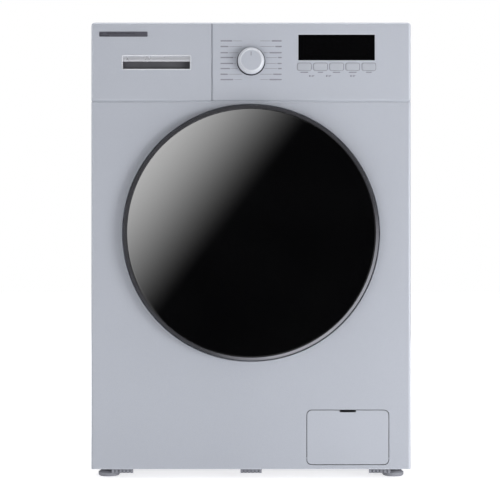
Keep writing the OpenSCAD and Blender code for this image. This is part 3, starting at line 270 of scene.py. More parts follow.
def pattern(tree, kind, scale, stretch=(1, 1, 1), centre=(0, 0, 0), detail=3.0):
    """A grey pattern on object coordinates; stretch draws it out along an axis and centre moves its
    middle."""
    coordinates = tree.nodes.new("ShaderNodeTexCoord")
    mapping = tree.nodes.new("ShaderNodeMapping")
    mapping.inputs["Scale"].default_value = stretch
    mapping.inputs["Location"].default_value = [-c * s for c, s in zip(centre, stretch)]
    tree.links.new(coordinates.outputs["Object"], mapping.inputs["Vector"])
    if kind == "rings":
        texture = tree.nodes.new("ShaderNodeTexWave")
        texture.wave_type, texture.rings_direction = "RINGS", "Y"
        texture.inputs["Distortion"].default_value = 0.6
        texture.inputs["Detail"].default_value = detail
        output = "Fac"
    elif kind == "bands":
        texture = tree.nodes.new("ShaderNodeTexWave")
        texture.wave_type, texture.bands_direction = "BANDS", "Z"
        texture.inputs["Distortion"].default_value = 0.3
        output = "Fac"
    elif kind == "cells":
        texture = tree.nodes.new("ShaderNodeTexVoronoi")
        output = "Distance"
    elif kind == "spangle":
        texture = tree.nodes.new("ShaderNodeTexVoronoi")
        grey = tree.nodes.new("ShaderNodeRGBToBW")
        tree.links.new(texture.outputs["Color"], grey.inputs["Color"])
        texture.inputs["Scale"].default_value = scale
        tree.links.new(mapping.outputs["Vector"], texture.inputs["Vector"])
        return grey.outputs["Val"]
    else:
        texture = tree.nodes.new("ShaderNodeTexNoise")
        texture.inputs["Detail"].default_value = detail
        output = "Fac"
    texture.inputs["Scale"].default_value = scale
    tree.links.new(mapping.outputs["Vector"], texture.inputs["Vector"])
    return texture.outputs[output]


def spread(tree, value, low, high, start=0.3, end=0.7):
    """A grey pattern between start and end, stretched to run from low to high."""
    range_node = tree.nodes.new("ShaderNodeMapRange")
    for name, number in zip(("From Min", "From Max", "To Min", "To Max"), (start, end, low, high)):
        range_node.inputs[name].default_value = number
    tree.links.new(value, range_node.inputs["Value"])
    return range_node.outputs["Result"]


def finish(name, colour, second=None, tone=("grain", 3.0), roughness=(0.35, 0.45), worn=("grain", 12.0),
           bumps=(), **sockets):
    """A finish: two colours mixed by one pattern, a roughness that another moves, and bumps given as
    (kind, scale, height in mm, options)."""
    material = bpy.data.materials.new(name)
    material.use_nodes = True
    tree = material.node_tree
    shader = tree.nodes["Principled BSDF"]
    mix = tree.nodes.new("ShaderNodeMix")
    mix.data_type = "RGBA"
    mix.inputs["A"].default_value = colour
    mix.inputs["B"].default_value = second or tuple(0.93 * c for c in colour[:3]) + (1.0,)
    options = tone[2] if len(tone) > 2 else {}
    tree.links.new(spread(tree, pattern(tree, tone[0], tone[1], **options), 0, 1), mix.inputs["Factor"])
    tree.links.new(mix.outputs["Result"], shader.inputs["Base Color"])
    options = worn[2] if len(worn) > 2 else {}
    tree.links.new(spread(tree, pattern(tree, worn[0], worn[1], **options), *roughness),
                   shader.inputs["Roughness"])
    normal = None
    for kind, scale, height, *extra in bumps:
        bump = tree.nodes.new("ShaderNodeBump")
        bump.inputs["Distance"].default_value = height * MM
        bump.inputs["Strength"].default_value = 1.0
        tree.links.new(pattern(tree, kind, scale, **(extra[0] if extra else {})), bump.inputs["Height"])
        if normal:
            tree.links.new(normal, bump.inputs["Normal"])
        normal = bump.outputs["Normal"]
    if normal:
        tree.links.new(normal, shader.inputs["Normal"])
    for socket, value in sockets.items():
        shader.inputs[socket.replace("_", " ")].default_value = value
    finishes[name] = material
    return material


# %% [markdown]
# ### Painted and moulded silver
# The cabinet is sheet steel with baked silver paint: metal flakes under a clear layer. The console,
# drawer front and service flap are plastic, sprayed to match but a little smoother and lighter.

# %% Silver finishes
SILVER = tint(184, 188, 197)
orange_peel = ("grain", 260.0, 0.012)
finish("silver_steel", SILVER, tint(176, 180, 190), ("spangle", 2600.0), (0.38, 0.46), ("grain", 5.0),
       bumps=[orange_peel, ("spangle", 2600.0, 0.004)], Metallic=0.35, Coat_Weight=0.25, Coat_Roughness=0.18)
finish("silver_plastic", tint(188, 192, 201), tint(181, 185, 195), ("spangle", 3000.0), (0.34, 0.42),
       ("grain", 6.0),
       bumps=[("grain", 420.0, 0.008)], Metallic=0.35, Coat_Weight=0.25, Coat_Roughness=0.16)
finish("silver_top", tint(182, 186, 195), tint(170, 174, 184), ("grain", 40.0), (0.42, 0.52), ("grain", 8.0),
       bumps=[("grain", 900.0, 0.03), ("cells", 700.0, 0.015)], Metallic=0.3, Coat_Weight=0.2,
       Coat_Roughness=0.25)
# The next finish is a glossier silver, lighter than the console's: its lighter colour is a painted highlight
# for the knob's bevel and the grip's bezel
finish("highlight_silver", tint(206, 208, 214), tint(199, 202, 208), ("grain", 30.0), (0.26, 0.34),
       ("grain", 20.0),
       bumps=[("grain", 700.0, 0.005)], Metallic=0.3, Coat_Weight=0.3, Coat_Roughness=0.12)
finish("key_silver", tint(190, 194, 202), tint(184, 188, 197), ("grain", 30.0), (0.3, 0.38), ("grain", 20.0),
       bumps=[("grain", 700.0, 0.006)], Metallic=0.4, Coat_Weight=0.2, Coat_Roughness=0.12)

# %% [markdown]
# ### Bare metals
# The back is galvanised sheet with its frosty spangle. The drum is brushed stainless steel, the
# pulley and spider are castings, shafts and bearings are turned, and the springs are drawn wire.

# %% Metal finishes
ABOUT_AXIS = {"centre": (0, 0, AXIS_Z * MM)}
finish("galvanised", tint(178, 181, 184), tint(164, 168, 172), ("spangle", 150.0), (0.36, 0.5),
       ("spangle", 150.0),
       bumps=[("spangle", 150.0, 0.006), ("grain", 300.0, 0.006)], Metallic=0.6)
finish("screw_steel", tint(190, 191, 192), tint(165, 167, 170), ("grain", 300.0), (0.2, 0.34),
       ("grain", 200.0),
       bumps=[("rings", 900.0, 0.01)], Metallic=1.0)
finish("stainless", tint(212, 213, 214), tint(198, 200, 202), ("grain", 60.0, {"stretch": (1, 12, 1)}),
       (0.32, 0.44),
       ("grain", 90.0, {"stretch": (1, 14, 1)}), bumps=[("grain", 240.0, 0.003, {"stretch": (1, 10, 1)})],
       Metallic=0.65)
finish("shaft_steel", tint(170, 172, 175), tint(140, 143, 148), ("rings", 60.0, ABOUT_AXIS), (0.2, 0.34),
       bumps=[("bands", 900.0, 0.006)], Metallic=1.0)
finish("bearing_steel", tint(188, 189, 192), tint(160, 162, 166), ("rings", 80.0, ABOUT_AXIS), (0.12, 0.24),
       bumps=[("rings", 500.0, 0.004, ABOUT_AXIS)], Metallic=1.0)
finish("spring_steel", tint(96, 98, 102), tint(70, 72, 76), ("grain", 120.0), (0.32, 0.48), ("grain", 300.0),
       bumps=[("grain", 1500.0, 0.01)], Metallic=0.9)
finish("chrome", tint(222, 224, 228), tint(206, 209, 214), ("grain", 20.0), (0.06, 0.12), ("grain", 60.0),
       bumps=[("grain", 500.0, 0.002)], Metallic=1.0)
finish("cast_aluminium", tint(172, 173, 174), tint(146, 147, 149), ("grain", 80.0), (0.42, 0.6),
       ("grain", 150.0),
       bumps=[("grain", 500.0, 0.06), ("rings", 160.0, 0.01, ABOUT_AXIS)], Metallic=0.95)
finish("zinc_casting", tint(168, 170, 172), tint(148, 150, 153), ("grain", 90.0), (0.34, 0.48),
       ("grain", 180.0),
       bumps=[("grain", 700.0, 0.03)], Metallic=0.95)
finish("motor_metal", tint(92, 95, 99), tint(76, 79, 84), ("grain", 60.0), (0.42, 0.56), ("grain", 100.0),
       bumps=[("bands", 320.0, 0.12), ("grain", 600.0, 0.02)], Metallic=0.7)

# %% [markdown]
# ### Plastics, rubber, glass and stone
# Moulded parts carry a spark-eroded texture. The gloss black of the door is clear plastic over black,
# so it has a coat. Rubber is matt with a slight bloom, and the weights are concrete full of pores.

# %% Plastic, rubber, glass and stone finishes
finish("black_gloss", tint(6, 6, 7), tint(9, 9, 10), ("grain", 8.0), (0.03, 0.05), ("grain", 4.0),
       bumps=[("grain", 9.0, 0.01)], Coat_Weight=0.6, Coat_Roughness=0.02)
finish("black_satin", tint(22, 22, 24), tint(30, 30, 32), ("grain", 60.0), (0.36, 0.5), ("grain", 90.0),
       bumps=[("grain", 1200.0, 0.02)])
finish("dark_grey", tint(132, 133, 140), tint(120, 121, 128), ("grain", 30.0), (0.46, 0.6), ("grain", 60.0),
       bumps=[("grain", 1000.0, 0.04)])
finish("grey_plastic", tint(112, 114, 118), tint(102, 104, 108), ("grain", 24.0), (0.38, 0.5),
       ("grain", 50.0),
       bumps=[("grain", 1100.0, 0.025)])
finish("white_plastic", tint(214, 215, 212), tint(206, 207, 203), ("grain", 14.0), (0.26, 0.36),
       ("grain", 40.0),
       bumps=[("grain", 900.0, 0.012)], Subsurface_Weight=0.05)
finish("tub_plastic", tint(196, 198, 197), tint(182, 184, 183), ("grain", 50.0), (0.42, 0.56),
       ("grain", 60.0),
       bumps=[("grain", 500.0, 0.05), ("cells", 260.0, 0.03)])
finish("blue_plastic", tint(46, 88, 142), tint(38, 78, 130), ("grain", 30.0), (0.3, 0.4), ("grain", 60.0),
       bumps=[("grain", 900.0, 0.015)])
finish("board", tint(22, 78, 48), tint(30, 98, 62), ("cells", 220.0), (0.28, 0.4), ("cells", 220.0),
       bumps=[("bands", 420.0, 0.05), ("cells", 320.0, 0.05)], Coat_Weight=0.5)
finish("concrete", tint(146, 144, 139), tint(118, 116, 112), ("grain", 26.0), (0.75, 0.92), ("grain", 60.0),
       bumps=[("cells", 160.0, 0.5), ("grain", 420.0, 0.35)])
finish("seal_rubber", tint(118, 120, 122), tint(104, 106, 109), ("grain", 22.0), (0.5, 0.64), ("grain", 40.0),
       bumps=[("grain", 700.0, 0.03)], Sheen_Weight=0.15, Sheen_Roughness=0.5)
finish("black_rubber", tint(30, 30, 31), tint(40, 40, 41), ("grain", 40.0), (0.52, 0.68), ("grain", 60.0),
       bumps=[("grain", 800.0, 0.05)], Sheen_Weight=0.1, Sheen_Roughness=0.5)
finish("glass", tint(236, 242, 242), tint(229, 237, 238), ("grain", 8.0), (0.01, 0.03), ("grain", 30.0),
       bumps=[("grain", 14.0, 0.02)], Transmission_Weight=0.95, IOR=1.5)
finish("ring_chrome", tint(122, 122, 128), tint(112, 112, 118), ("grain", 20.0), (0.16, 0.22),
       ("grain", 60.0),
       bumps=[("grain", 500.0, 0.003)], Metallic=0.9)
# The next finish is a darker grey than the drawer's silver: painted shade for the inside of the grip pocket
finish("pocket_shade_grey", tint(128, 128, 134), tint(116, 116, 122), ("grain", 20.0), (0.34, 0.42),
       ("grain", 60.0),
       bumps=[("grain", 500.0, 0.004)], Metallic=0.6)
finish("bar_chrome", tint(206, 207, 213), tint(194, 195, 201), ("grain", 20.0), (0.26, 0.32), ("grain", 60.0),
       bumps=[("grain", 500.0, 0.001)], Metallic=0.5)
finish("badge_metal", tint(112, 112, 122), tint(102, 102, 112), ("grain", 60.0, {"stretch": (0.1, 1, 1)}),
       (0.24, 0.34),
       ("grain", 90.0, {"stretch": (0.1, 1, 1)}), bumps=[("grain", 900.0, 0.004, {"stretch": (0.1, 1, 1)})],
       Metallic=0.6)
# The next finish is the grey of the printed marks, and also the painted shade of the rings round the keys
finish("print_and_shade_grey", tint(126, 125, 135), tint(116, 115, 125), ("grain", 200.0), (0.4, 0.5), ("grain", 90.0),
       bumps=[("grain", 1500.0, 0.004)])
print("finishes:", len(finishes))

# %% [markdown]
# ## Dressing the frame
# Every CAD node already has a material slot that says what it is made of. Each node takes the
# finish of its slot, and its mesh is left as it came. Only the door's ring differs: its slot is gloss
# black, and it is finished as dark chrome, which is what catches the light round the door.

# %% Finishes on the CAD nodes
slot_of = {part["node"]: part["material_slot"] for part in frame["record"]["subparts"]}
for name, node in frame["nodes"].items():
    node.data.materials.clear()
    node.data.materials.append(finishes["ring_chrome" if name == "door_ring" else slot_of[name]])
print("dressed:", len(slot_of))

# %% [markdown]
# ## The door
# The cover is one moulding of black gloss plastic, very slightly domed, and the dome decides how the
# room bends in it. A ball's cap turned on a lathe gives an even reflection, where flat facets would
# break it up. A trim ring with a shallow slope lies over the CAD ring, because a shallow slope shows a
# broader band of light. The glass bowl behind bulges into the drum to keep the washing off the seal.

# %% Domed cover and glass bowl
COVER_FRONT, COVER_BACK = cover_low[1], cover_high[1]
COVER_EDGE = COVER_BACK - 3.0
RING_R = (node_box("door_ring")[1][0] - node_box("door_ring")[0][0]) / 2
dome_rise = COVER_EDGE - COVER_FRONT
ball_r = (COVER_R**2 + dome_rise**2) / (2 * dome_rise)
r = np.linspace(0, COVER_R - 0.8, 60)
dome = np.stack([r, COVER_FRONT + ball_r - np.sqrt(ball_r**2 - r**2)], -1)
rim = softened([(COVER_R - 0.8, COVER_EDGE - 0.06), (COVER_R, COVER_EDGE + 0.1), (COVER_R, COVER_BACK),
                (COVER_R - 8, COVER_BACK), (COVER_R - 8, COVER_EDGE + 2.6)], 0.4, closed=False)
inside = np.concatenate([dome[::-6], dome[:1]]) + (0, 3.0)
make("door_dome", turned(np.concatenate([dome, rim, inside[1:]]), steps=288, closed=False), "black_gloss",
     "door",
     instead_of=["door_cover"])

trim = softened([(COVER_R + 0.4, COVER_EDGE + 2), (COVER_R + 0.4, COVER_EDGE - 1.1),
                 (COVER_R + 1.4, COVER_EDGE - 1.1),
                 (RING_R - 0.2, COVER_EDGE + 1.8), (RING_R, COVER_EDGE + 7.8),
                 (RING_R - 0.8, COVER_EDGE + 7.8)], 0.5, steps=4)
make("door_trim", turned(trim, steps=288), "ring_chrome", "door")

bowl_low, bowl_high = node_box("door_glass")
BOWL_RIM = (bowl_high[0] - bowl_low[0]) / 2
BOWL_END = bowl_high[1]
GLASS = 5.0
bowl = np.array([(BOWL_RIM, -1), (BOWL_RIM, 4), (BOWL_RIM - 12, 4), (BOWL_RIM - 36, BOWL_END - 8),
                 (BOWL_RIM - 46, BOWL_END)])
inner = np.array([(BOWL_RIM - 48, BOWL_END - GLASS), (BOWL_RIM - 41, BOWL_END - 12), (BOWL_RIM - 17, -1)])
profile = np.concatenate([softened(bowl, 9, steps=9, closed=False), [(0, BOWL_END), (0, BOWL_END - GLASS)],
                          softened(inner, 8, steps=9, closed=False), bowl[:1]])
make("glass_bowl", turned(profile, steps=160, closed=False), "glass", "door", instead_of=["door_glass"],
     crease=50)

# %% [markdown]
# The inner frame is held by screws round the door. A cross-head screw is a low dome with a recess: the
# depth drops wherever a point of the polar grid lies inside either bar of the cross.


# %% Cross-head screws
def screw_head(x, z, radius, depth, toward=-1.0, height=1.6):
    """A dome h (1.04 - s^2)^0.5 over the radius s, cut down to 0.25 h inside a cross; toward is -1 for
    the front."""
    s = np.array([1.0, 1.0, 0.92, 0.8, 0.6, 0.58, 0.4, 0.2, 0.17, 0.0])[:, None]
    t = np.linspace(0, TURN, 32, endpoint=False)
    u, v = s * np.cos(t), s * np.sin(t)
    dome = height * np.sqrt(np.clip(1.04 - s**2, 0, 1)) + 0 * u
    cross = (np.minimum(abs(u), abs(v)) < 0.13) & (np.maximum(abs(u), abs(v)) < 0.59)
    dome = np.where(cross, 0.25 * height, dome)
    dome[0] = -0.6
    return surface(place(x + radius * u, depth + toward * dome, z + radius * v), caps=True)


SCREW_CIRCLE = 190
screw_angles = np.radians([20, 55, 90, 125, 235, 270, 305, 340])
make("door_frame_screws",
     join(screw_head(SCREW_CIRCLE * math.cos(a), AXIS_Z + SCREW_CIRCLE * math.sin(a), 4.0, 5.9, toward=1.0)
                               for a in screw_angles), "screw_steel", "door")

# %% [markdown]
# ## The door seal
# The seal is a bellows: it has to stay tight on the doorway while the tub swings on its springs, so it
# has folds to spare. Its middle line is drawn as (radius, depth), given a wall by moving the line
# both ways along its own normal, and turned. In the machine its front lip is held by the cabinet and
# its back lip by the tub.

# %% Rubber bellows and its clamp
seal_low, seal_high = node_box("door_seal")
SEAL_R, SEAL_FRONT, SEAL_BACK = seal_high[0], seal_low[1], seal_high[1]
middle = softened([(SEAL_R - 2.5, SEAL_FRONT + 1.5), (SEAL_R - 7, SEAL_FRONT + 3), (SEAL_R - 7, 25),
                   (SEAL_R - 17, 31),
                   (SEAL_R - 16, 37), (SEAL_R - 4, 38), (SEAL_R - 3, 45), (SEAL_R - 16, 46),
                   (SEAL_R - 16, 53),
                   (SEAL_R - 5, 56), (SEAL_R - 5, SEAL_BACK - 1)], 3.2, steps=8, closed=False)
middle = middle[np.append(True, np.linalg.norm(np.diff(middle, axis=0), axis=1) > 1e-4)]
along = np.gradient(middle, axis=0)
along /= np.linalg.norm(along, axis=1, keepdims=True)
across = along[:, ::-1] * (1, -1)
wall = 1.3 + 0.5 * np.exp(-((np.arange(len(middle)) - 4) / 5.0) ** 2)[:, None]
bellows_profile = np.concatenate([middle + across * wall, (middle - across * wall)[::-1]])
bellows = make("seal_bellows", turned(bellows_profile, steps=180), "seal_rubber", None,
               instead_of=["door_seal"], crease=50)
place(0, 30.0, AXIS_Z)
place(0, 66.0, AXIS_Z)
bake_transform(bellows)

t = np.linspace(0, TURN, 12, endpoint=False)
wire = np.stack([SEAL_R - 10.2 + 1.1 * np.cos(t), 17 + 1.1 * np.sin(t)], -1)
make("seal_clamp_ring", turned(wire, steps=160), "stainless", "cabinet")

# %% [markdown]
# ## The drum
# The drum is a wrapper of thin stainless sheet, punched with hundreds of holes, between a rolled front
# ring and a pressed back. A hole in a grid is cheap: each cell of the sheet joins eight points on its
# border to eight points round the hole, so one array makes every cell at once.

# %% Perforated wrapper
shell_low, shell_high = node_box("drum_shell")
DRUM_R, DRUM_FRONT, DRUM_BACK = shell_high[0], shell_low[1], shell_high[1]
SHEET = 0.9


def perforated_band(radius, sheet, front, back, across, along, hole):
    """A tube wall cut into cells: border points of a square, hole points h (cos t, sin t), and x = r
    cos(angle), z = r sin(angle)."""
    pitch_a, pitch_d = TURN / across, (back - front) / along
    i, k = np.meshgrid(np.arange(across), np.arange(along), indexing="ij")
    t = np.arange(8) * TURN / 8
    square = np.stack([np.sign(np.round(np.cos(t), 6)), np.sign(np.round(np.sin(t), 6))],
                      -1) * (pitch_a / 2, pitch_d / 2)
    shift = np.where(k % 2 == 1, 0.2, -0.2)[..., None] * pitch_a
    hole_a = hole / radius * np.cos(t) + shift
    hole_d = hole * np.sin(t) + 0 * shift
    angle = (i[..., None] + 0.5) * pitch_a + np.concatenate([square[:, 0] + 0 * shift, hole_a], -1)
    depth = front + (k[..., None] + 0.5) * pitch_d + np.concatenate([square[:, 1] + 0 * shift, hole_d], -1)
    r = np.array([radius, radius - sheet])[:, None, None, None]
    points = place(r * np.cos(angle), depth, AXIS_Z + r * np.sin(angle))
    n, cells = np.arange(8), across * along
    m = (n + 1) % 8
    base = 16 * np.arange(cells)[:, None, None]
    outer = base + np.stack([n, m, 8 + m, 8 + n], -1)
    lining = np.stack([8 + n, 8 + m, 8 + m + 16 * cells, 8 + n + 16 * cells], -1) + base
    return points.reshape(-1, 3), [outer.reshape(-1, 4), outer.reshape(-1, 4)[:, ::-1] + 16 * cells,
                                   lining.reshape(-1, 4)]


def band_edge(radius, sheet, depth, across):
    """The thin rim that closes a band's edge, with a point at each of the border's places."""
    angle = np.arange(2 * across) * TURN / (2 * across)
    r = np.array([radius, radius - sheet])[:, None]
    return surface(place(r * np.cos(angle), depth, AXIS_Z + r * np.sin(angle)), caps=False)


HOLES_ROUND, HOLES_DEEP = 72, 14
band_front, band_back = DRUM_FRONT + 16, DRUM_BACK - 14
make("drum_wrapper",
     join([perforated_band(DRUM_R, SHEET, band_front, band_back, HOLES_ROUND, HOLES_DEEP, 2.4),
                           band_edge(DRUM_R, SHEET, band_front, HOLES_ROUND),
                           band_edge(DRUM_R, SHEET, band_back, HOLES_ROUND)]),
     "stainless", "drum", instead_of=["drum_shell"])
MOUTH_R = 160.0
front_ring = softened([(MOUTH_R, DRUM_FRONT + 8), (MOUTH_R, DRUM_FRONT), (DRUM_R - 24, DRUM_FRONT),
                       (DRUM_R - 18, DRUM_FRONT + 4),
                       (DRUM_R - 3, DRUM_FRONT + 4), (DRUM_R, DRUM_FRONT + 8), (DRUM_R, band_front + 1.5)],
                       2.5, steps=5, closed=False)
along = np.gradient(front_ring, axis=0)
along /= np.maximum(np.linalg.norm(along, axis=1, keepdims=True), 1e-9)
front_wall = (front_ring + along[:, ::-1] * (-1, 1) * 0.9)[::-1]
make("drum_front_ring", turned(np.concatenate([front_ring, front_wall]), steps=180), "stainless", "drum")

# %% [markdown]
# The back of the drum is pressed with a three-armed star, which stiffens it where the casting behind
# carries the shaft. On a polar grid the star is a product: a cosine of three times the angle picks the
# arms, and a smooth step in the radius fades them out at the hub and at the rim.


# %% Pressed drum back and lifters
def smooth_step(value, start, end):
    """0 before start and 1 after end, with 3 t^2 - 2 t^3 between."""
    t = np.clip((value - start) / (end - start), 0, 1)
    return t * t * (3 - 2 * t)


r = np.concatenate([np.linspace(0, DRUM_R - 8, 46), [DRUM_R - 4, DRUM_R - 1.5, DRUM_R, DRUM_R]])[:, None]
t = np.linspace(0, TURN, 144, endpoint=False)
arms = smooth_step(np.cos(3 * (t - math.radians(90))), 0.1, 0.75)
fade = smooth_step(r, 34, 62) * (1 - smooth_step(r, DRUM_R - 62, DRUM_R - 34))
ripple = 0.8 * np.sin(r / 7.5) * fade * (1 - arms)
pressing = 5.0 * arms * fade + ripple + 2.5 * (1 - smooth_step(r, 26, 34)) + 0 * t
turn_down = np.where(r > DRUM_R - 5, (r - DRUM_R + 5) / 5, 0) * 3
last = np.arange(len(r)) == len(r) - 1
front_skin = DRUM_BACK - 1.6 - pressing - turn_down - np.where(last[:, None], 12, 0)
back_skin = front_skin + 1.2
grid = np.concatenate([place(r * np.cos(t), front_skin, AXIS_Z + r * np.sin(t)),
                       place((r - 1.0 * (r > DRUM_R - 1))[::-1] * np.cos(t), back_skin[::-1],
                             AXIS_Z + (r - 1.0 * (r > DRUM_R - 1))[::-1] * np.sin(t))])
make("drum_back_pressing", surface(grid, caps=False), "stainless", "drum", crease=60)


LIFTER_HEIGHT, LIFTER_HALF = 52, 29


def lifter(angle):
    """A ridge along the drum: height h (1 - |v|^1.7)^0.9 over its width v, with a rounded rise at
    either end."""
    low, high = node_box("drum_paddles")
    s = np.concatenate([np.linspace(0, 0.12, 9), np.linspace(0.2, 0.8, 7), np.linspace(0.88, 1, 9)])[:, None]
    v = np.concatenate([np.linspace(-1, 1, 25), np.linspace(0.9, -0.9, 9)])
    end = np.sqrt(np.clip(1 - (1 - np.minimum(1, np.minimum(s, 1 - s) / 0.12)) ** 2, 0, 1))
    height = np.where(np.arange(len(v)) < 25,
                      LIFTER_HEIGHT * (1 - abs(v) ** 1.7) ** 0.9 * (0.15 + 0.85 * end), -0.1)
    wide = LIFTER_HALF * (0.55 + 0.45 * end) * v
    base = np.sqrt((DRUM_R - 1.3) ** 2 - wide**2)
    radial, sideways = base - height, wide * (1 - 0.25 * smooth_step(height, 20, LIFTER_HEIGHT))
    depth = low[1] + 3 + s * (high[1] - low[1] - 6)
    x = radial * np.cos(angle) - sideways * np.sin(angle)
    z = radial * np.sin(angle) + sideways * np.cos(angle)
    return surface(place(x, depth + 0 * x, AXIS_Z + z))


make("drum_lifters", join(lifter(math.radians(a)) for a in (-30, -150, 90)), "grey_plastic", "drum",
     instead_of=["drum_paddles"], crease=60)

# %% [markdown]
# ## The console
# Programme knob, display, five keys and the printed marks. The marks are thin raised prints: short
# bars stand where the programme names would be, with a fine leader line to the knob where there is room.

# %% Knob, its bevel with a painted highlight, and a painted shadow ring
knob_low, knob_high = node_box("programme_knob")
KNOB_X, KNOB_Z = (knob_low[0] + knob_high[0]) / 2, (knob_low[2] + knob_high[2]) / 2
KNOB_R, KNOB_FRONT = (knob_high[0] - knob_low[0]) / 2, knob_low[1]
FACE_R = 19.2
centre_crown = np.linspace(0, FACE_R - 1.2, 16)
face = np.stack([centre_crown, KNOB_FRONT + 0.9 - 0.5 * (1 - (centre_crown / FACE_R) ** 2)], -1)
knob_face = np.concatenate([face,
    [(FACE_R - 0.6, KNOB_FRONT + 1.2), (FACE_R - 0.6, KNOB_FRONT + 4), (4, KNOB_FRONT + 4),
                                   (4, knob_high[1]), (0, knob_high[1])]])
make("knob_face", turned(knob_face, steps=96, closed=False, x=KNOB_X, z=KNOB_Z), "silver_plastic", "knob",
     instead_of=["programme_knob"])
# Painted highlight: the bevel takes a lighter silver than the knob's face, for the light on its slope
bevel = softened([(FACE_R - 0.8, KNOB_FRONT + 3), (FACE_R - 0.8, KNOB_FRONT + 0.1),
                  (FACE_R + 0.6, KNOB_FRONT),
                  (KNOB_R - 1.2, KNOB_FRONT + 6), (KNOB_R - 0.4, KNOB_FRONT + 9),
                  (KNOB_R - 3, KNOB_FRONT + 9.5)], 0.7, steps=5)
make("knob_bevel", turned(bevel, steps=128, x=KNOB_X, z=KNOB_Z), "highlight_silver", "knob")
# Painted shadow: a thin black ring, flush on the fascia round the knob, stands in for the shade in the gap
# under the knob
gap = softened([(KNOB_R - 3, -0.05), (KNOB_R + 1.5, -0.05), (KNOB_R + 1.5, 0.3), (KNOB_R - 3, 0.3)], 0.05)
make("knob_gap", turned(gap, steps=96, x=KNOB_X, z=KNOB_Z), "black_satin", "cabinet")
ridge_angle = np.linspace(0, TURN, 360, endpoint=False)
ridges = 0.28 * np.cos(60 * ridge_angle) - 0.28
skirt_r = np.array([12, 12, KNOB_R - 0.6, KNOB_R, KNOB_R, KNOB_R - 0.8])[:, None]
skirt_d = KNOB_FRONT + np.array([17.5, 8.8, 8.8, 9.6, 17.5, 18.2])[:, None]
skirt_r = skirt_r + ridges * (skirt_r > KNOB_R - 0.5)
make("knob_skirt",
     surface(place(KNOB_X + skirt_r * np.cos(ridge_angle), skirt_d, KNOB_Z + skirt_r * np.sin(ridge_angle)),
                           close_rows=True), "silver_plastic", "knob", crease=50)
make("knob_pointer",
    plate(KNOB_X, KNOB_Z + 12, 1.3, 7.5, 0.6, KNOB_FRONT + 0.35, KNOB_FRONT + 1.4, edge=0.15), "print_and_shade_grey",
    "knob")

# %% Display window and its frame
display_low, display_high = node_box("display_window")
DISPLAY_X, DISPLAY_Z = (display_low[0] + display_high[0]) / 2, (display_low[2] + display_high[2]) / 2
DISPLAY_W, DISPLAY_H = display_high[0] - display_low[0] - 6, display_high[2] - display_low[2]
make("display_glass",
     plate(DISPLAY_X, DISPLAY_Z, DISPLAY_W - 1.6, DISPLAY_H - 1.6, 1.2, -0.1, 4, edge=0.15, crown=0.02),
     "black_gloss", "cabinet", instead_of=["display_window"])


def frame_ring(x, z, width, height, corner, section, steps=6):
    """A frame: its section, given as (inset from the outline, depth), is carried round an outline with
    round corners."""
    centres, out = outline(width, height, corner, steps)
    inset, depth = np.asarray(section, float).T[..., None]
    flat = centres + (corner - inset)[..., None] * out
    return surface(place(x + flat[..., 0], depth, z + flat[..., 1]), close_rows=True)


make("display_bezel", frame_ring(DISPLAY_X, DISPLAY_Z, DISPLAY_W + 1.4, DISPLAY_H + 1.4, 1.8,
                                 softened([(0, 0.6), (0, -0.15), (0.6, -0.5), (1.5, -0.1), (1.5, 0.6)], 0.2,
                                          steps=3)),
     "key_silver", "cabinet")

# %% Keys
for i in range(1, 6):
    low, high = node_box(f"button_{i}")
    x, z = (low[0] + high[0]) / 2, (low[2] + high[2]) / 2
    cap = plate(x, z, high[0] - low[0], high[2] - low[2], 3.0, low[1] + 0.1, low[1] + 8, edge=0.5, crown=0.1)
    stem = plate(x, z, 8, 5, 0.5, low[1] + 7.9, high[1], edge=0.1)
    make(f"key_cap_{i}", join([cap, stem]), "key_silver", f"key_{i}",
         instead_of=[f"button_{i}"])

# Painted shade: a thin dark ring, flush on the console round each key, stands in for the shade in the gap
# round the key
key_rims = join(frame_ring((low[0] + high[0]) / 2, (low[2] + high[2]) / 2, high[0] - low[0] + 2.0,
                           high[2] - low[2] + 2.0, 4.0,
                           [(0, 0.3), (0, -0.06), (0.75, -0.06), (0.75, 0.3)])
                for low, high in (node_box(f"button_{i}") for i in range(1, 6)))
make("key_rims", key_rims, "print_and_shade_grey", "cabinet")

# %% Printed marks on the console
KEY_STEP = 30.0
print_front, print_back = -0.09, 0.2


def bar(x, z, width, height):
    """One printed bar."""
    return plate(x, z, width, height, min(width, height) * 0.4, print_front, print_back, edge=0.05, steps=3)


def line(x0, z0, x1, z1, thick=0.75):
    """A printed line between two places, as a thin four-sided shell."""
    a, b = np.array([x0, z0]), np.array([x1, z1])
    side = np.array([z0 - z1, x1 - x0]) / np.hypot(x1 - x0, z1 - z0) * thick / 2
    flat = np.array([a + side, b + side, b - side, a - side])
    depth = np.array([print_back, print_front])[:, None]
    return surface(place(flat[:, 0], depth, flat[:, 1]))


LABEL_ROWS = KNOB_Z + np.array([38, 27.5, 16, 7, -4, -13.5, -24, -34])
LABEL_WIDTHS = ((22, 19), (15, 12), (14, 23), (24, 7), (24, 8), (18, 7), (14, 16), (24, 23))
LABEL_EDGE = 57.0
legend = []
for z, (left, right) in zip(LABEL_ROWS, LABEL_WIDTHS):
    reach = max(17.0, max(0.0, KNOB_R**2 - (z - KNOB_Z) ** 2) ** 0.5 + 4)
    for side, width in ((-1, left), (1, right)):
        legend.append(bar(KNOB_X + side * (LABEL_EDGE - width / 2), z, width, 2.3))
        if LABEL_EDGE - width - 1.5 > reach + 1:
            legend.append(line(KNOB_X + side * (LABEL_EDGE - width - 1.5), z, KNOB_X + side * reach, z))
make("programme_marks", join(legend), "print_and_shade_grey", "cabinet")

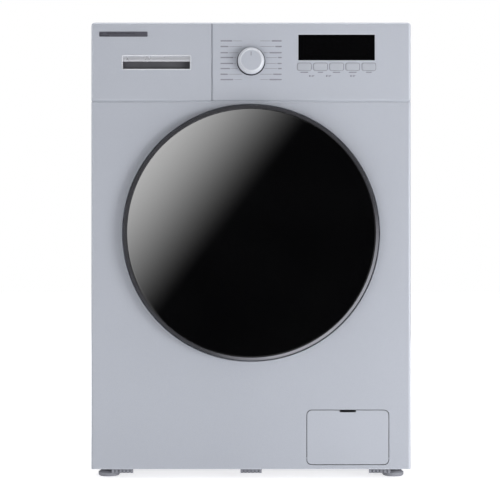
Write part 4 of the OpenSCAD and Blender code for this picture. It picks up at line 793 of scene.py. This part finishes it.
# two strips stand in for the folded edges that show through the shadow gaps round the console
SEAM_Z, SEAM_X, SEAM_W, STRIP = 702.75, -72.75, 2.1, (0.3, 1.6, 6)
make("console_seam_strip", plate(0, SEAM_Z, 590, SEAM_W, *STRIP, edge=0.1), "silver_plastic", "cabinet")
make("drawer_seam_strip", plate(SEAM_X, 777, SEAM_W, 144, *STRIP, edge=0.1), "silver_plastic", "cabinet")
KEY_MARK_Z, SYMBOL_Z = 756.6, 749.8
key_marks = [bar(DISPLAY_X + k * KEY_STEP, KEY_MARK_Z, width, 1.7) for k,
             width in zip(range(-2, 3), (15, 10, 14, 15, 11))]
for k in (-1.55, -0.5, 1.0):
    x = DISPLAY_X + k * KEY_STEP
    key_marks += [bar(x - 3.2, SYMBOL_Z, 3.2, 3.2), bar(x + 2.6, 750.6, 5.4, 1.1),
                  bar(x + 1.8, 748.8, 3.8, 1.1)]
make("key_marks", join(key_marks), "print_and_shade_grey", "cabinet")
make("blank_badge", plate(-237.5, 827.5, 90, 9.5, 1.6, -0.6, 0.3, edge=0.3, crown=0.2), "badge_metal",
     "drawer")

# %% [markdown]
# ## The drawer
# The grip is a pocket with bright edges and a bar across its upper part: fingers go in below the bar
# and up behind it. The tray is white, with a lift-out siphon over the softener compartment.

# %% Grip pocket and tray fittings
grip_low, grip_high = node_box("drawer_grip")
GRIP_X, GRIP_Z = (grip_low[0] + grip_high[0]) / 2, (grip_low[2] + grip_high[2]) / 2
GRIP_W, GRIP_H, GRIP_BACK = grip_high[0] - grip_low[0], grip_high[2] - grip_low[2], grip_high[1]
# Painted shade: the pocket's walls and floor take a darker grey than the drawer's silver, for the shade
# inside the pocket
make("grip_pocket", frame_ring(GRIP_X, GRIP_Z, GRIP_W - 0.6, GRIP_H - 0.6, 2.8,
                               [(0, 1.0), (1.0, 1.0), (1.4, GRIP_BACK - 1.6),
                                (GRIP_H / 2 - 1, GRIP_BACK - 1.4),
                                (GRIP_H / 2 - 1, GRIP_BACK), (0, GRIP_BACK)]), "pocket_shade_grey", "drawer",
     instead_of=["drawer_grip"])
make("grip_pocket_floor",
     plate(GRIP_X, GRIP_Z, GRIP_W - 3, GRIP_H - 3, 1, GRIP_BACK - 1.5, GRIP_BACK - 0.2, edge=0.1),
     "pocket_shade_grey", "drawer")
# Painted highlight: the bezel takes the same lighter silver, for the light caught on its edges
make("grip_bezel", frame_ring(GRIP_X, GRIP_Z, GRIP_W + 1.2, GRIP_H + 1.2, 3.4,
                              softened([(0, 0.5), (0, -0.3), (1.0, -0.7), (2.2, 0.4), (2.2, 3)], 0.35,
                                       steps=4)),
     "highlight_silver", "drawer")
bar_section_t = np.linspace(0, TURN, 28, endpoint=False)
bar_section = np.stack([5.0 * np.cos(bar_section_t), 1.7 * np.sin(bar_section_t)], -1) * MM
bar_path = place(np.linspace(GRIP_X - GRIP_W / 2 + 1.6, GRIP_X + GRIP_W / 2 - 1.6, 30), 3.1,
                 GRIP_Z + GRIP_H / 2 - 6.4)
make("grip_bar", sweep(bar_path, bar_section, (0, 1, 0)), "bar_chrome", "drawer")
tray_low, tray_high = node_box("drawer_tray")
SOFT_X = tray_low[0] + 0.59 * (tray_high[0] - tray_low[0]) + 1
siphon = join([
    plate(0, 0, 46, 92, 3, 0, 3, edge=0.8),
    plate(0, -20, 14, 14, 6.9, -9, 0.5, edge=1.2),
])
points, faces = siphon
flat = points / MM - (0, FACE_Y, 0)
lifted = place(SOFT_X + flat[:, 0], 196 + flat[:, 2], tray_high[2] - 12 - flat[:, 1])
make("softener_siphon", (lifted, faces), "blue_plastic", "drawer")
tab_points, tab_faces = plate(0, 0, 22, 30, 4, 0, 2.4, edge=0.6)
flat = tab_points / MM - (0, FACE_Y, 0)
make("tray_release_tab",
     (place(tray_low[0] + 24 + flat[:, 0], 232 + flat[:, 2], tray_high[2] - 8 - flat[:, 1]), tab_faces),
     "grey_plastic", "drawer")
print("console and drawer done")

# %% [markdown]
# ## Springs, hoses and the belt
# The tub hangs on four coil springs, and rubber hoses join it to the cabinet. Every one of these
# pieces is a section carried along a path. In the machine, those between the cabinet and the tub
# stretch as the tub bounces.

# %% Suspension springs
spring_low, spring_high = node_box("suspension_springs")
SPRING_OUT_R, WIRE_R = 11, 1.7
SPRING_X, SPRING_R = spring_high[0] - SPRING_OUT_R, SPRING_OUT_R - WIRE_R
SPRING_DEPTHS = (spring_low[1] + SPRING_OUT_R, spring_high[1] - SPRING_OUT_R)
COILS = 11


def coil_spring(x, depth):
    """A helix x = R cos t, depth = R sin t with z rising evenly; R shrinks to nothing at both ends,
    which stand straight as hooks."""
    s = np.linspace(0, 1, COILS * 18)
    t = TURN * COILS * s
    radius = SPRING_R * smooth_step(s, 0, 0.05) * (1 - smooth_step(s, 0.95, 1))
    z = spring_low[2] + 14 + (spring_high[2] - spring_low[2] - 28) * s
    middle = np.stack([x + radius * np.cos(t), depth + radius * np.sin(t), z], -1)
    lead = np.linspace(13, 1, 6)[:, None]
    path = np.concatenate([middle[:1] - lead * (0, 0, 1), middle, middle[-1:] + lead[::-1] * (0, 0, 1)])
    ahead = np.gradient(path, axis=0)
    ahead /= np.linalg.norm(ahead, axis=1, keepdims=True)
    angle = np.concatenate([np.full(6, t[0]), t, np.full(6, t[-1])])
    outward = np.stack([np.cos(angle), np.sin(angle), 0 * angle], -1)
    outward -= ahead * np.sum(outward * ahead, axis=1, keepdims=True)
    outward /= np.linalg.norm(outward, axis=1, keepdims=True)
    other = np.cross(ahead, outward)
    a = np.linspace(0, TURN, 8, endpoint=False)[None, :, None]
    grid = path[:, None] + WIRE_R * (np.cos(a) * outward[:, None] + np.sin(a) * other[:, None])
    return surface(place(grid[..., 0], grid[..., 1], grid[..., 2]))


springs = make("spring_coils",
               join(coil_spring(side * SPRING_X, d) for side in (-1, 1) for d in SPRING_DEPTHS),
               "spring_steel", None, instead_of=["suspension_springs"], crease=80)
place(0, 248, spring_high[2] - 3)
place(0, 248, spring_low[2] + 12)
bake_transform(springs)


# %% [markdown]
# A corrugated hose bends without folding because its wall is a row of rings. Its radius is a cosine of
# the length run so far; at both ends, where a clip holds it, the wall is plain and a little wider.


# %% Hoses
def hose_shell(corners, radius, bend, up, rib_pitch=0.0, rib_height=0.0, cuff=14.0, spacing=1.6, steps=24):
    """A tube along a route of [x, depth, z] corners: radius r + h/2 (cos(2 pi s / pitch) - 1) away
    from its cuffs."""
    path, s = route(corners, bend, spacing)
    body = smooth_step(np.minimum(s, s[-1] - s), cuff, cuff + 3) if rib_height else 0 * s
    wave = np.cos(TURN * s / rib_pitch) if rib_height else 0 * s
    ring_r = radius + body * rib_height / 2 * (wave - 1)
    return sweep(place(path[:, 0], path[:, 1], path[:, 2]), round_section(ring_r * MM, steps), up)


def clip_ring(centre, axis, radius, width=6.0):
    """A worm-drive clip: a flat band round a hose end, turned about the hose's own axis."""
    t = np.linspace(0, TURN, 48, endpoint=False)
    u, v = {"x": ((0, 1, 0), (0, 0, 1)), "y": ((1, 0, 0), (0, 0, 1)), "z": ((1, 0, 0), (0, 1, 0))}[axis]
    w = {"x": (1, 0, 0), "y": (0, 1, 0), "z": (0, 0, 1)}[axis]
    r = np.array([radius, radius + 0.8, radius + 0.8, radius])[:, None, None]
    along_axis = np.array([-0.5, -0.5, 0.5, 0.5])[:, None, None] * width * np.array(w)
    ring = np.array(centre) + along_axis + r * (np.cos(t)[:, None] * u + np.sin(t)[:, None] * v)
    return surface(place(ring[..., 0], ring[..., 1], ring[..., 2]), close_rows=True)


sump_low, sump_high = node_box("sump_hose")
SUMP_R, SUMP_D = 15.0, 98.0
SUMP_X, SUMP_Z, SUMP_TOP = sump_low[0] + 15.3, sump_low[2] + 15.3, sump_high[2]
sump_end = sump_high[0]
sump = make("sump_hose_ribbed",
            hose_shell([(SUMP_X, SUMP_D, SUMP_TOP), (SUMP_X, SUMP_D, SUMP_Z), (sump_end, SUMP_D, SUMP_Z)],
                                           SUMP_R, 26, (0, 1, 0), 5.5, 2.4), "black_rubber", None,
                                           instead_of=["sump_hose"], crease=60)
place(SUMP_X, SUMP_D, SUMP_Z)
place(SUMP_X, SUMP_D, SUMP_TOP - 12)
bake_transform(sump)
make("sump_clip_tub", clip_ring((SUMP_X, SUMP_D, SUMP_TOP - 6), "z", SUMP_R), "stainless", "tub")
make("sump_clip_pump", clip_ring((sump_end - 7, SUMP_D, SUMP_Z), "x", SUMP_R), "stainless", "cabinet")

low, high = node_box("dispenser_hose")
x, d = (low[0] + high[0]) / 2, (low[1] + high[1]) / 2
chute = make("dispenser_hose_ribbed",
    hose_shell([(x, d, low[2]), (x, d, (low[2] + high[2]) / 2), (x, d, high[2])], 21.0, 2, (0, 1, 0), 7.0,
               3.6, cuff=8),
             "black_rubber", None, instead_of=["dispenser_hose"], crease=60)
place(x, d, high[2] - 10)
place(x, d, low[2] + 10)
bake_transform(chute)

low, high = node_box("fill_hose")
fill_x0, fill_x1, fill_z = low[0] + 8, high[0] - 8.3, low[2] + 8.3
fill_route = [(fill_x0, low[1], fill_z), (fill_x0, low[1] + 52, fill_z), (fill_x1, low[1] + 52, fill_z),
              (fill_x1, 434, fill_z)]
make("fill_hose_tube", hose_shell(fill_route, 8.0, 24, (0, 0, 1), spacing=3.0), "black_rubber", "cabinet",
     instead_of=["fill_hose"])
make("fill_clips",
    join([clip_ring((fill_x0, low[1] + 8, fill_z), "y", 8.0), clip_ring((fill_x1, 428, fill_z), "y", 8.0)]),
     "stainless", "cabinet")

low, high = node_box("drain_hose")
DRAIN_X, DRAIN_Z, DRAIN_R = low[0] + 16, (low[2] + high[2]) / 2, 12.0
drain_route = [(low[0], 94, DRAIN_Z), (DRAIN_X, 94, DRAIN_Z), (DRAIN_X, 499, DRAIN_Z)]
make("drain_hose_ribbed", hose_shell(drain_route, DRAIN_R, 9, (0, 0, 1), 5.0, 1.8, spacing=1.5, steps=20),
     "grey_plastic", "cabinet",
     instead_of=["drain_hose"], crease=60)
spigot = softened([(11, 498), (11, 515), (11.6, 516.5), (11, 520), (8.4, 520), (8.4, 498)], 0.5, steps=4)
make("drain_spigot", turned(spigot, steps=64, x=DRAIN_X, z=DRAIN_Z), "grey_plastic", "cabinet")

# %% [markdown]
# The belt is flat outside and carries small V ribs inside, which run in the pulleys' grooves. Its path
# is the outline round two circles: two arcs, and the two straight runs that touch both.

# %% Ribbed belt
pulley_low, pulley_high = node_box("drum_pulley")
motor_low, motor_high = node_box("motor_pulley")
belt_low, belt_high = node_box("drive_belt")
MOTOR_X, MOTOR_Z = (motor_low[0] + motor_high[0]) / 2, (motor_low[2] + motor_high[2]) / 2
BELT_GAP, MOTOR_PULLEY_R = 0.4, 11.6
BIG_R, SMALL_R = (pulley_high[0] - pulley_low[0]) / 2 + BELT_GAP, MOTOR_PULLEY_R + BELT_GAP
belt_d = (belt_low[1] + belt_high[1]) / 2
gap = np.array([MOTOR_X, MOTOR_Z - AXIS_Z])
apart = np.hypot(*gap)
bearing, lean = math.atan2(gap[1], gap[0]), math.acos((BIG_R - SMALL_R) / apart)
big = np.linspace(bearing + lean, bearing + TURN - lean, 160)
small = np.linspace(bearing - lean, bearing + lean, 28)
corners = np.concatenate([np.stack([BIG_R * np.cos(big), AXIS_Z + BIG_R * np.sin(big)], -1),
                          np.stack([MOTOR_X + SMALL_R * np.cos(small), MOTOR_Z + SMALL_R * np.sin(small)],
                                   -1)])
loop = np.concatenate([corners, corners[:1]])
run = np.concatenate([[0], np.cumsum(np.hypot(*np.diff(loop, axis=0).T))])
s = np.linspace(0, run[-1], 420, endpoint=False)
belt_path = place(np.interp(s, run, loop[:, 0]), belt_d, np.interp(s, run, loop[:, 1]))
RIBS = 5
rib_b = np.linspace(-4.9, 4.9, 2 * RIBS + 1)
rib_a = np.where(np.arange(2 * RIBS + 1) % 2 == 0, 1.6, 0.1)
belt_section = np.concatenate([np.stack([rib_a, rib_b], -1), [(3.9, 4.9), (3.9, -4.9)]]) * MM
outward_sign = np.sign(np.cross(belt_path[1] - belt_path[0],
                                (0, 1, 0)) @ (belt_path[0] - place(0, belt_d, AXIS_Z)))
make("belt_ribbed", sweep(belt_path, belt_section * (outward_sign, 1), (0, 1, 0), closed=True),
     "black_rubber", "tub",
     instead_of=["drive_belt"], crease=30)
print(f"belt length {run[-1]:.0f} mm")

# %% [markdown]
# ## The back and the underside
# The back of a real machine has four caps that close the holes of the transport bolts, and a plate for
# the maker's data, which is left blank here. The feet end in rubber pads.

# %% Transport caps, blank plate and foot pads
CAP_PLACES = ((-205, 640), (205, 640), (-205, 330), (205, 330))
cap = softened([(0, 503.6), (9, 503.4), (12.5, 502.6), (14, 501.2), (14, 499.4), (0, 499.4)], 1.0, steps=5,
               closed=False)
make("transport_caps", join(turned(cap, steps=48, closed=False, x=x, z=z) for x, z in CAP_PLACES),
     "dark_grey", "cabinet")


def facing_back(shell, depth):
    """A plate turned to face the back: its depth d becomes depth - d, while x and z stay."""
    points, faces = shell
    flat = points / MM - (0, FACE_Y, 0)
    return place(flat[:, 0], depth - flat[:, 1], flat[:, 2]), faces


make("blank_data_plate", facing_back(plate(60, 690, 92, 48, 2.5, 0, 0.8, edge=0.2), 501.2), "stainless",
     "cabinet")
pad = softened([(0, 0.05), (17.5, 0.05), (19.4, 1.6), (19.4, 5), (17, 5.2), (0, 5.2)], 0.9, steps=5,
               closed=False)


def foot_pad(x, depth):
    """A rubber pad under a foot: a low profile (r, height) turned about the foot's upright axis."""
    t = np.linspace(0, TURN, 64, endpoint=False)
    r, z = pad.T[..., None]
    ridge = 1 + 0.012 * np.cos(32 * t) * ((z > 1.5) & (r > 18))
    return surface(place(x + r * ridge * np.cos(t), depth + r * ridge * np.sin(t), z + 0 * t), caps=False)


for name, body in (("foot_left", "left_foot"), ("foot_right", "right_foot")):
    low, high = node_box(name)
    make(f"pad_{name}", foot_pad((low[0] + high[0]) / 2, (low[1] + high[1]) / 2), "seal_rubber", body)

# %% [markdown]
# ## Floor, light and camera
# The machine stands on a plain pale floor under soft light. A black gloss door shows what is in front of
# it, so one large softbox stands in front, lights the door's dome alone, and grows brighter towards its
# upper left corner. Other reflections see a room that is dim on one side and bright on the other. Some
# lights leave out the glossy pieces or the sides. The floor and the world stay white behind the machine.

# %% Stage
world = bpy.data.worlds.new("studio")
bpy.context.scene.world = world
world.use_nodes = True
tree = world.node_tree
background = tree.nodes["Background"]
ray = tree.nodes.new("ShaderNodeLightPath")
level = tree.nodes.new("ShaderNodeMapRange")
AMBIENT, BACKDROP = 0.5, 1.0
level.inputs["To Min"].default_value, level.inputs["To Max"].default_value = AMBIENT, BACKDROP
tree.links.new(ray.outputs["Is Camera Ray"], level.inputs["Value"])
room = tree.nodes.new("ShaderNodeTexCoord")
lean = tree.nodes.new("ShaderNodeVectorMath")
lean.operation = "DOT_PRODUCT"
lean.inputs[1].default_value = (0.6, -0.45, -0.66)
tree.links.new(room.outputs["Generated"], lean.inputs[0])
shade = tree.nodes.new("ShaderNodeMapRange")
ROOM_DARK, ROOM_BRIGHT = 0.2, 1.9
for name, number in zip(("From Min", "From Max", "To Min", "To Max"), (0.6, 0.9, ROOM_DARK, ROOM_BRIGHT)):
    shade.inputs[name].default_value = number
tree.links.new(lean.outputs["Value"], shade.inputs["Value"])
mirror = tree.nodes.new("ShaderNodeMix")
mirror.data_type = "FLOAT"
tree.links.new(ray.outputs["Is Glossy Ray"], mirror.inputs["Factor"])
tree.links.new(level.outputs["Result"], mirror.inputs[2])
tree.links.new(shade.outputs["Result"], mirror.inputs[3])
tree.links.new(mirror.outputs["Result"], background.inputs["Strength"])
background.inputs["Color"].default_value = (1.0, 1.0, 1.0, 1.0)
bpy.context.scene.view_settings.view_transform = "Standard"


def stage_panel(name, corners, material, **visible):
    """A flat four-cornered stage piece."""
    mesh = bpy.data.meshes.new(name)
    mesh.from_pydata(corners, [], [(0, 1, 2, 3)])
    mesh.materials.append(material)
    panel = bpy.data.objects.new(name, mesh)
    bpy.context.scene.collection.objects.link(panel)
    for flag, value in visible.items():
        setattr(panel, f"visible_{flag}", value)
    return panel


floor_material = bpy.data.materials.new("pale_floor")
floor_material.use_nodes = True
floor_shader = floor_material.node_tree.nodes["Principled BSDF"]
floor_shader.inputs["Base Color"].default_value = (0.86, 0.86, 0.87, 1.0)
floor_shader.inputs["Roughness"].default_value = 0.75
floor_shader.inputs["Emission Color"].default_value = (1.0, 1.0, 1.0, 1.0)
floor_shader.inputs["Emission Strength"].default_value = 0.62
stage_panel("floor", [(-9, -9, 0), (9, -9, 0), (9, 9, 0), (-9, 9, 0)], floor_material, glossy=False)

box_material = bpy.data.materials.new("softbox")
box_material.use_nodes = True
tree = box_material.node_tree
tree.nodes.clear()
emission = tree.nodes.new("ShaderNodeEmission")
output = tree.nodes.new("ShaderNodeOutputMaterial")
coordinates = tree.nodes.new("ShaderNodeTexCoord")
slope = tree.nodes.new("ShaderNodeVectorMath")
slope.operation = "DOT_PRODUCT"
BOX_UP = 0.609
slope.inputs[1].default_value = (-0.793, 0.0, BOX_UP)
tree.links.new(coordinates.outputs["Object"], slope.inputs[0])
BOX_START, BOX_END, BOX_PEAK = 0.18 + BOX_UP * AXIS_Z * MM, 1.28 + BOX_UP * AXIS_Z * MM, 8.2
rise = tree.nodes.new("ShaderNodeMapRange")
rise.interpolation_type = "SMOOTHSTEP"
for name, number in zip(("From Min", "From Max", "To Min", "To Max"), (BOX_START, BOX_END, 0.0, BOX_PEAK)):
    rise.inputs[name].default_value = number
tree.links.new(slope.outputs["Value"], rise.inputs["Value"])
tree.links.new(rise.outputs["Result"], emission.inputs["Strength"])
tree.links.new(emission.outputs["Emission"], output.inputs["Surface"])
softbox = stage_panel("softbox",
    [(-2.2, -3.3, -1.3), (1.9, -3.3, -1.3), (1.9, -3.3, 2.4), (-2.2, -3.3, 2.4)], box_material,
                      camera=False, diffuse=False, shadow=False)
gloss_only = bpy.data.collections.new("door_gloss")
gloss_only.objects.link(bpy.data.objects["door_dome"])
softbox.light_linking.receiver_collection = gloss_only


def all_but(name, pieces):
    """A collection that keeps a light off these pieces and lets it fall on everything else."""
    spared = bpy.data.collections.new(name)
    for piece in pieces:
        spared.objects.link(piece)
    for entry in spared.collection_objects:
        entry.light_linking.link_state = "EXCLUDE"
    return spared


dark_gloss = [bpy.data.objects[name] for name in ("door_dome", "door_trim",
                                                  "display_glass")] + [frame["nodes"]["door_ring"]]
sides = [frame["nodes"][name] for name in ("left_side_panel", "right_side_panel")]
off_gloss = all_but("all_but_dark_gloss", dark_gloss)
off_sides = all_but("all_but_gloss_and_sides", dark_gloss + sides)


def area_light(name, place_at, aim_at, size, power):
    """A soft rectangular light that points at a place."""
    lamp = bpy.data.lights.new(name, "AREA")
    lamp.shape, lamp.size, lamp.size_y, lamp.energy = "RECTANGLE", size[0], size[1], power
    holder = bpy.data.objects.new(name, lamp)
    holder.location = place_at
    holder.rotation_mode = "QUATERNION"
    holder.rotation_quaternion = (Vector(aim_at) - Vector(place_at)).to_track_quat("-Z", "Y")
    bpy.context.scene.collection.objects.link(holder)
    return holder


front_right = area_light("front_right", (1.7, -1.9, 0.34), (0.3, 0, 0.3), (1.1, 0.6), 36)
front_right.light_linking.receiver_collection = off_sides
front_left = area_light("front_left", (-1.1, -2.2, 0.3), (-0.2, 0, 0.2), (1.0, 0.5), 9)
front_left.light_linking.receiver_collection = off_sides
front_right.visible_glossy = front_left.visible_glossy = False
area_light("side_right", (3.0, -0.2, 0.9), (0, 0, 0.45), (1.6, 1.8), 9)
side_left = area_light("side_left", (-3.0, -0.2, 0.9), (0, 0, 0.45), (1.6, 1.8), 9)
overhead = area_light("overhead", (0, 0.2, 3.0), (0, 0, 0.4), (2.6, 2.2), 34)
for lamp in (side_left, overhead):
    lamp.light_linking.receiver_collection = off_gloss
area_light("rear", (0.8, 3.0, 1.8), (0, 0, 0.5), (2.4, 1.8), 30)

# %% Camera
CAMERA_X, CAMERA_D, CAMERA_Z = -2.0, -2550.0, 440.0
lens = bpy.data.cameras.new("camera")
lens.sensor_width, lens.lens, lens.shift_y = 36.0, 98.7, -0.015
camera = bpy.data.objects.new("camera", lens)
camera.location = place(CAMERA_X, CAMERA_D, CAMERA_Z)
camera.rotation_euler = (math.radians(90), 0, 0)
bpy.context.scene.collection.objects.link(camera)
bpy.context.scene.camera = camera

# %% [markdown]
# ## The end
# The number of pieces made is printed.

# %% Count of pieces and the end
print("pieces made:", len(made_pieces))
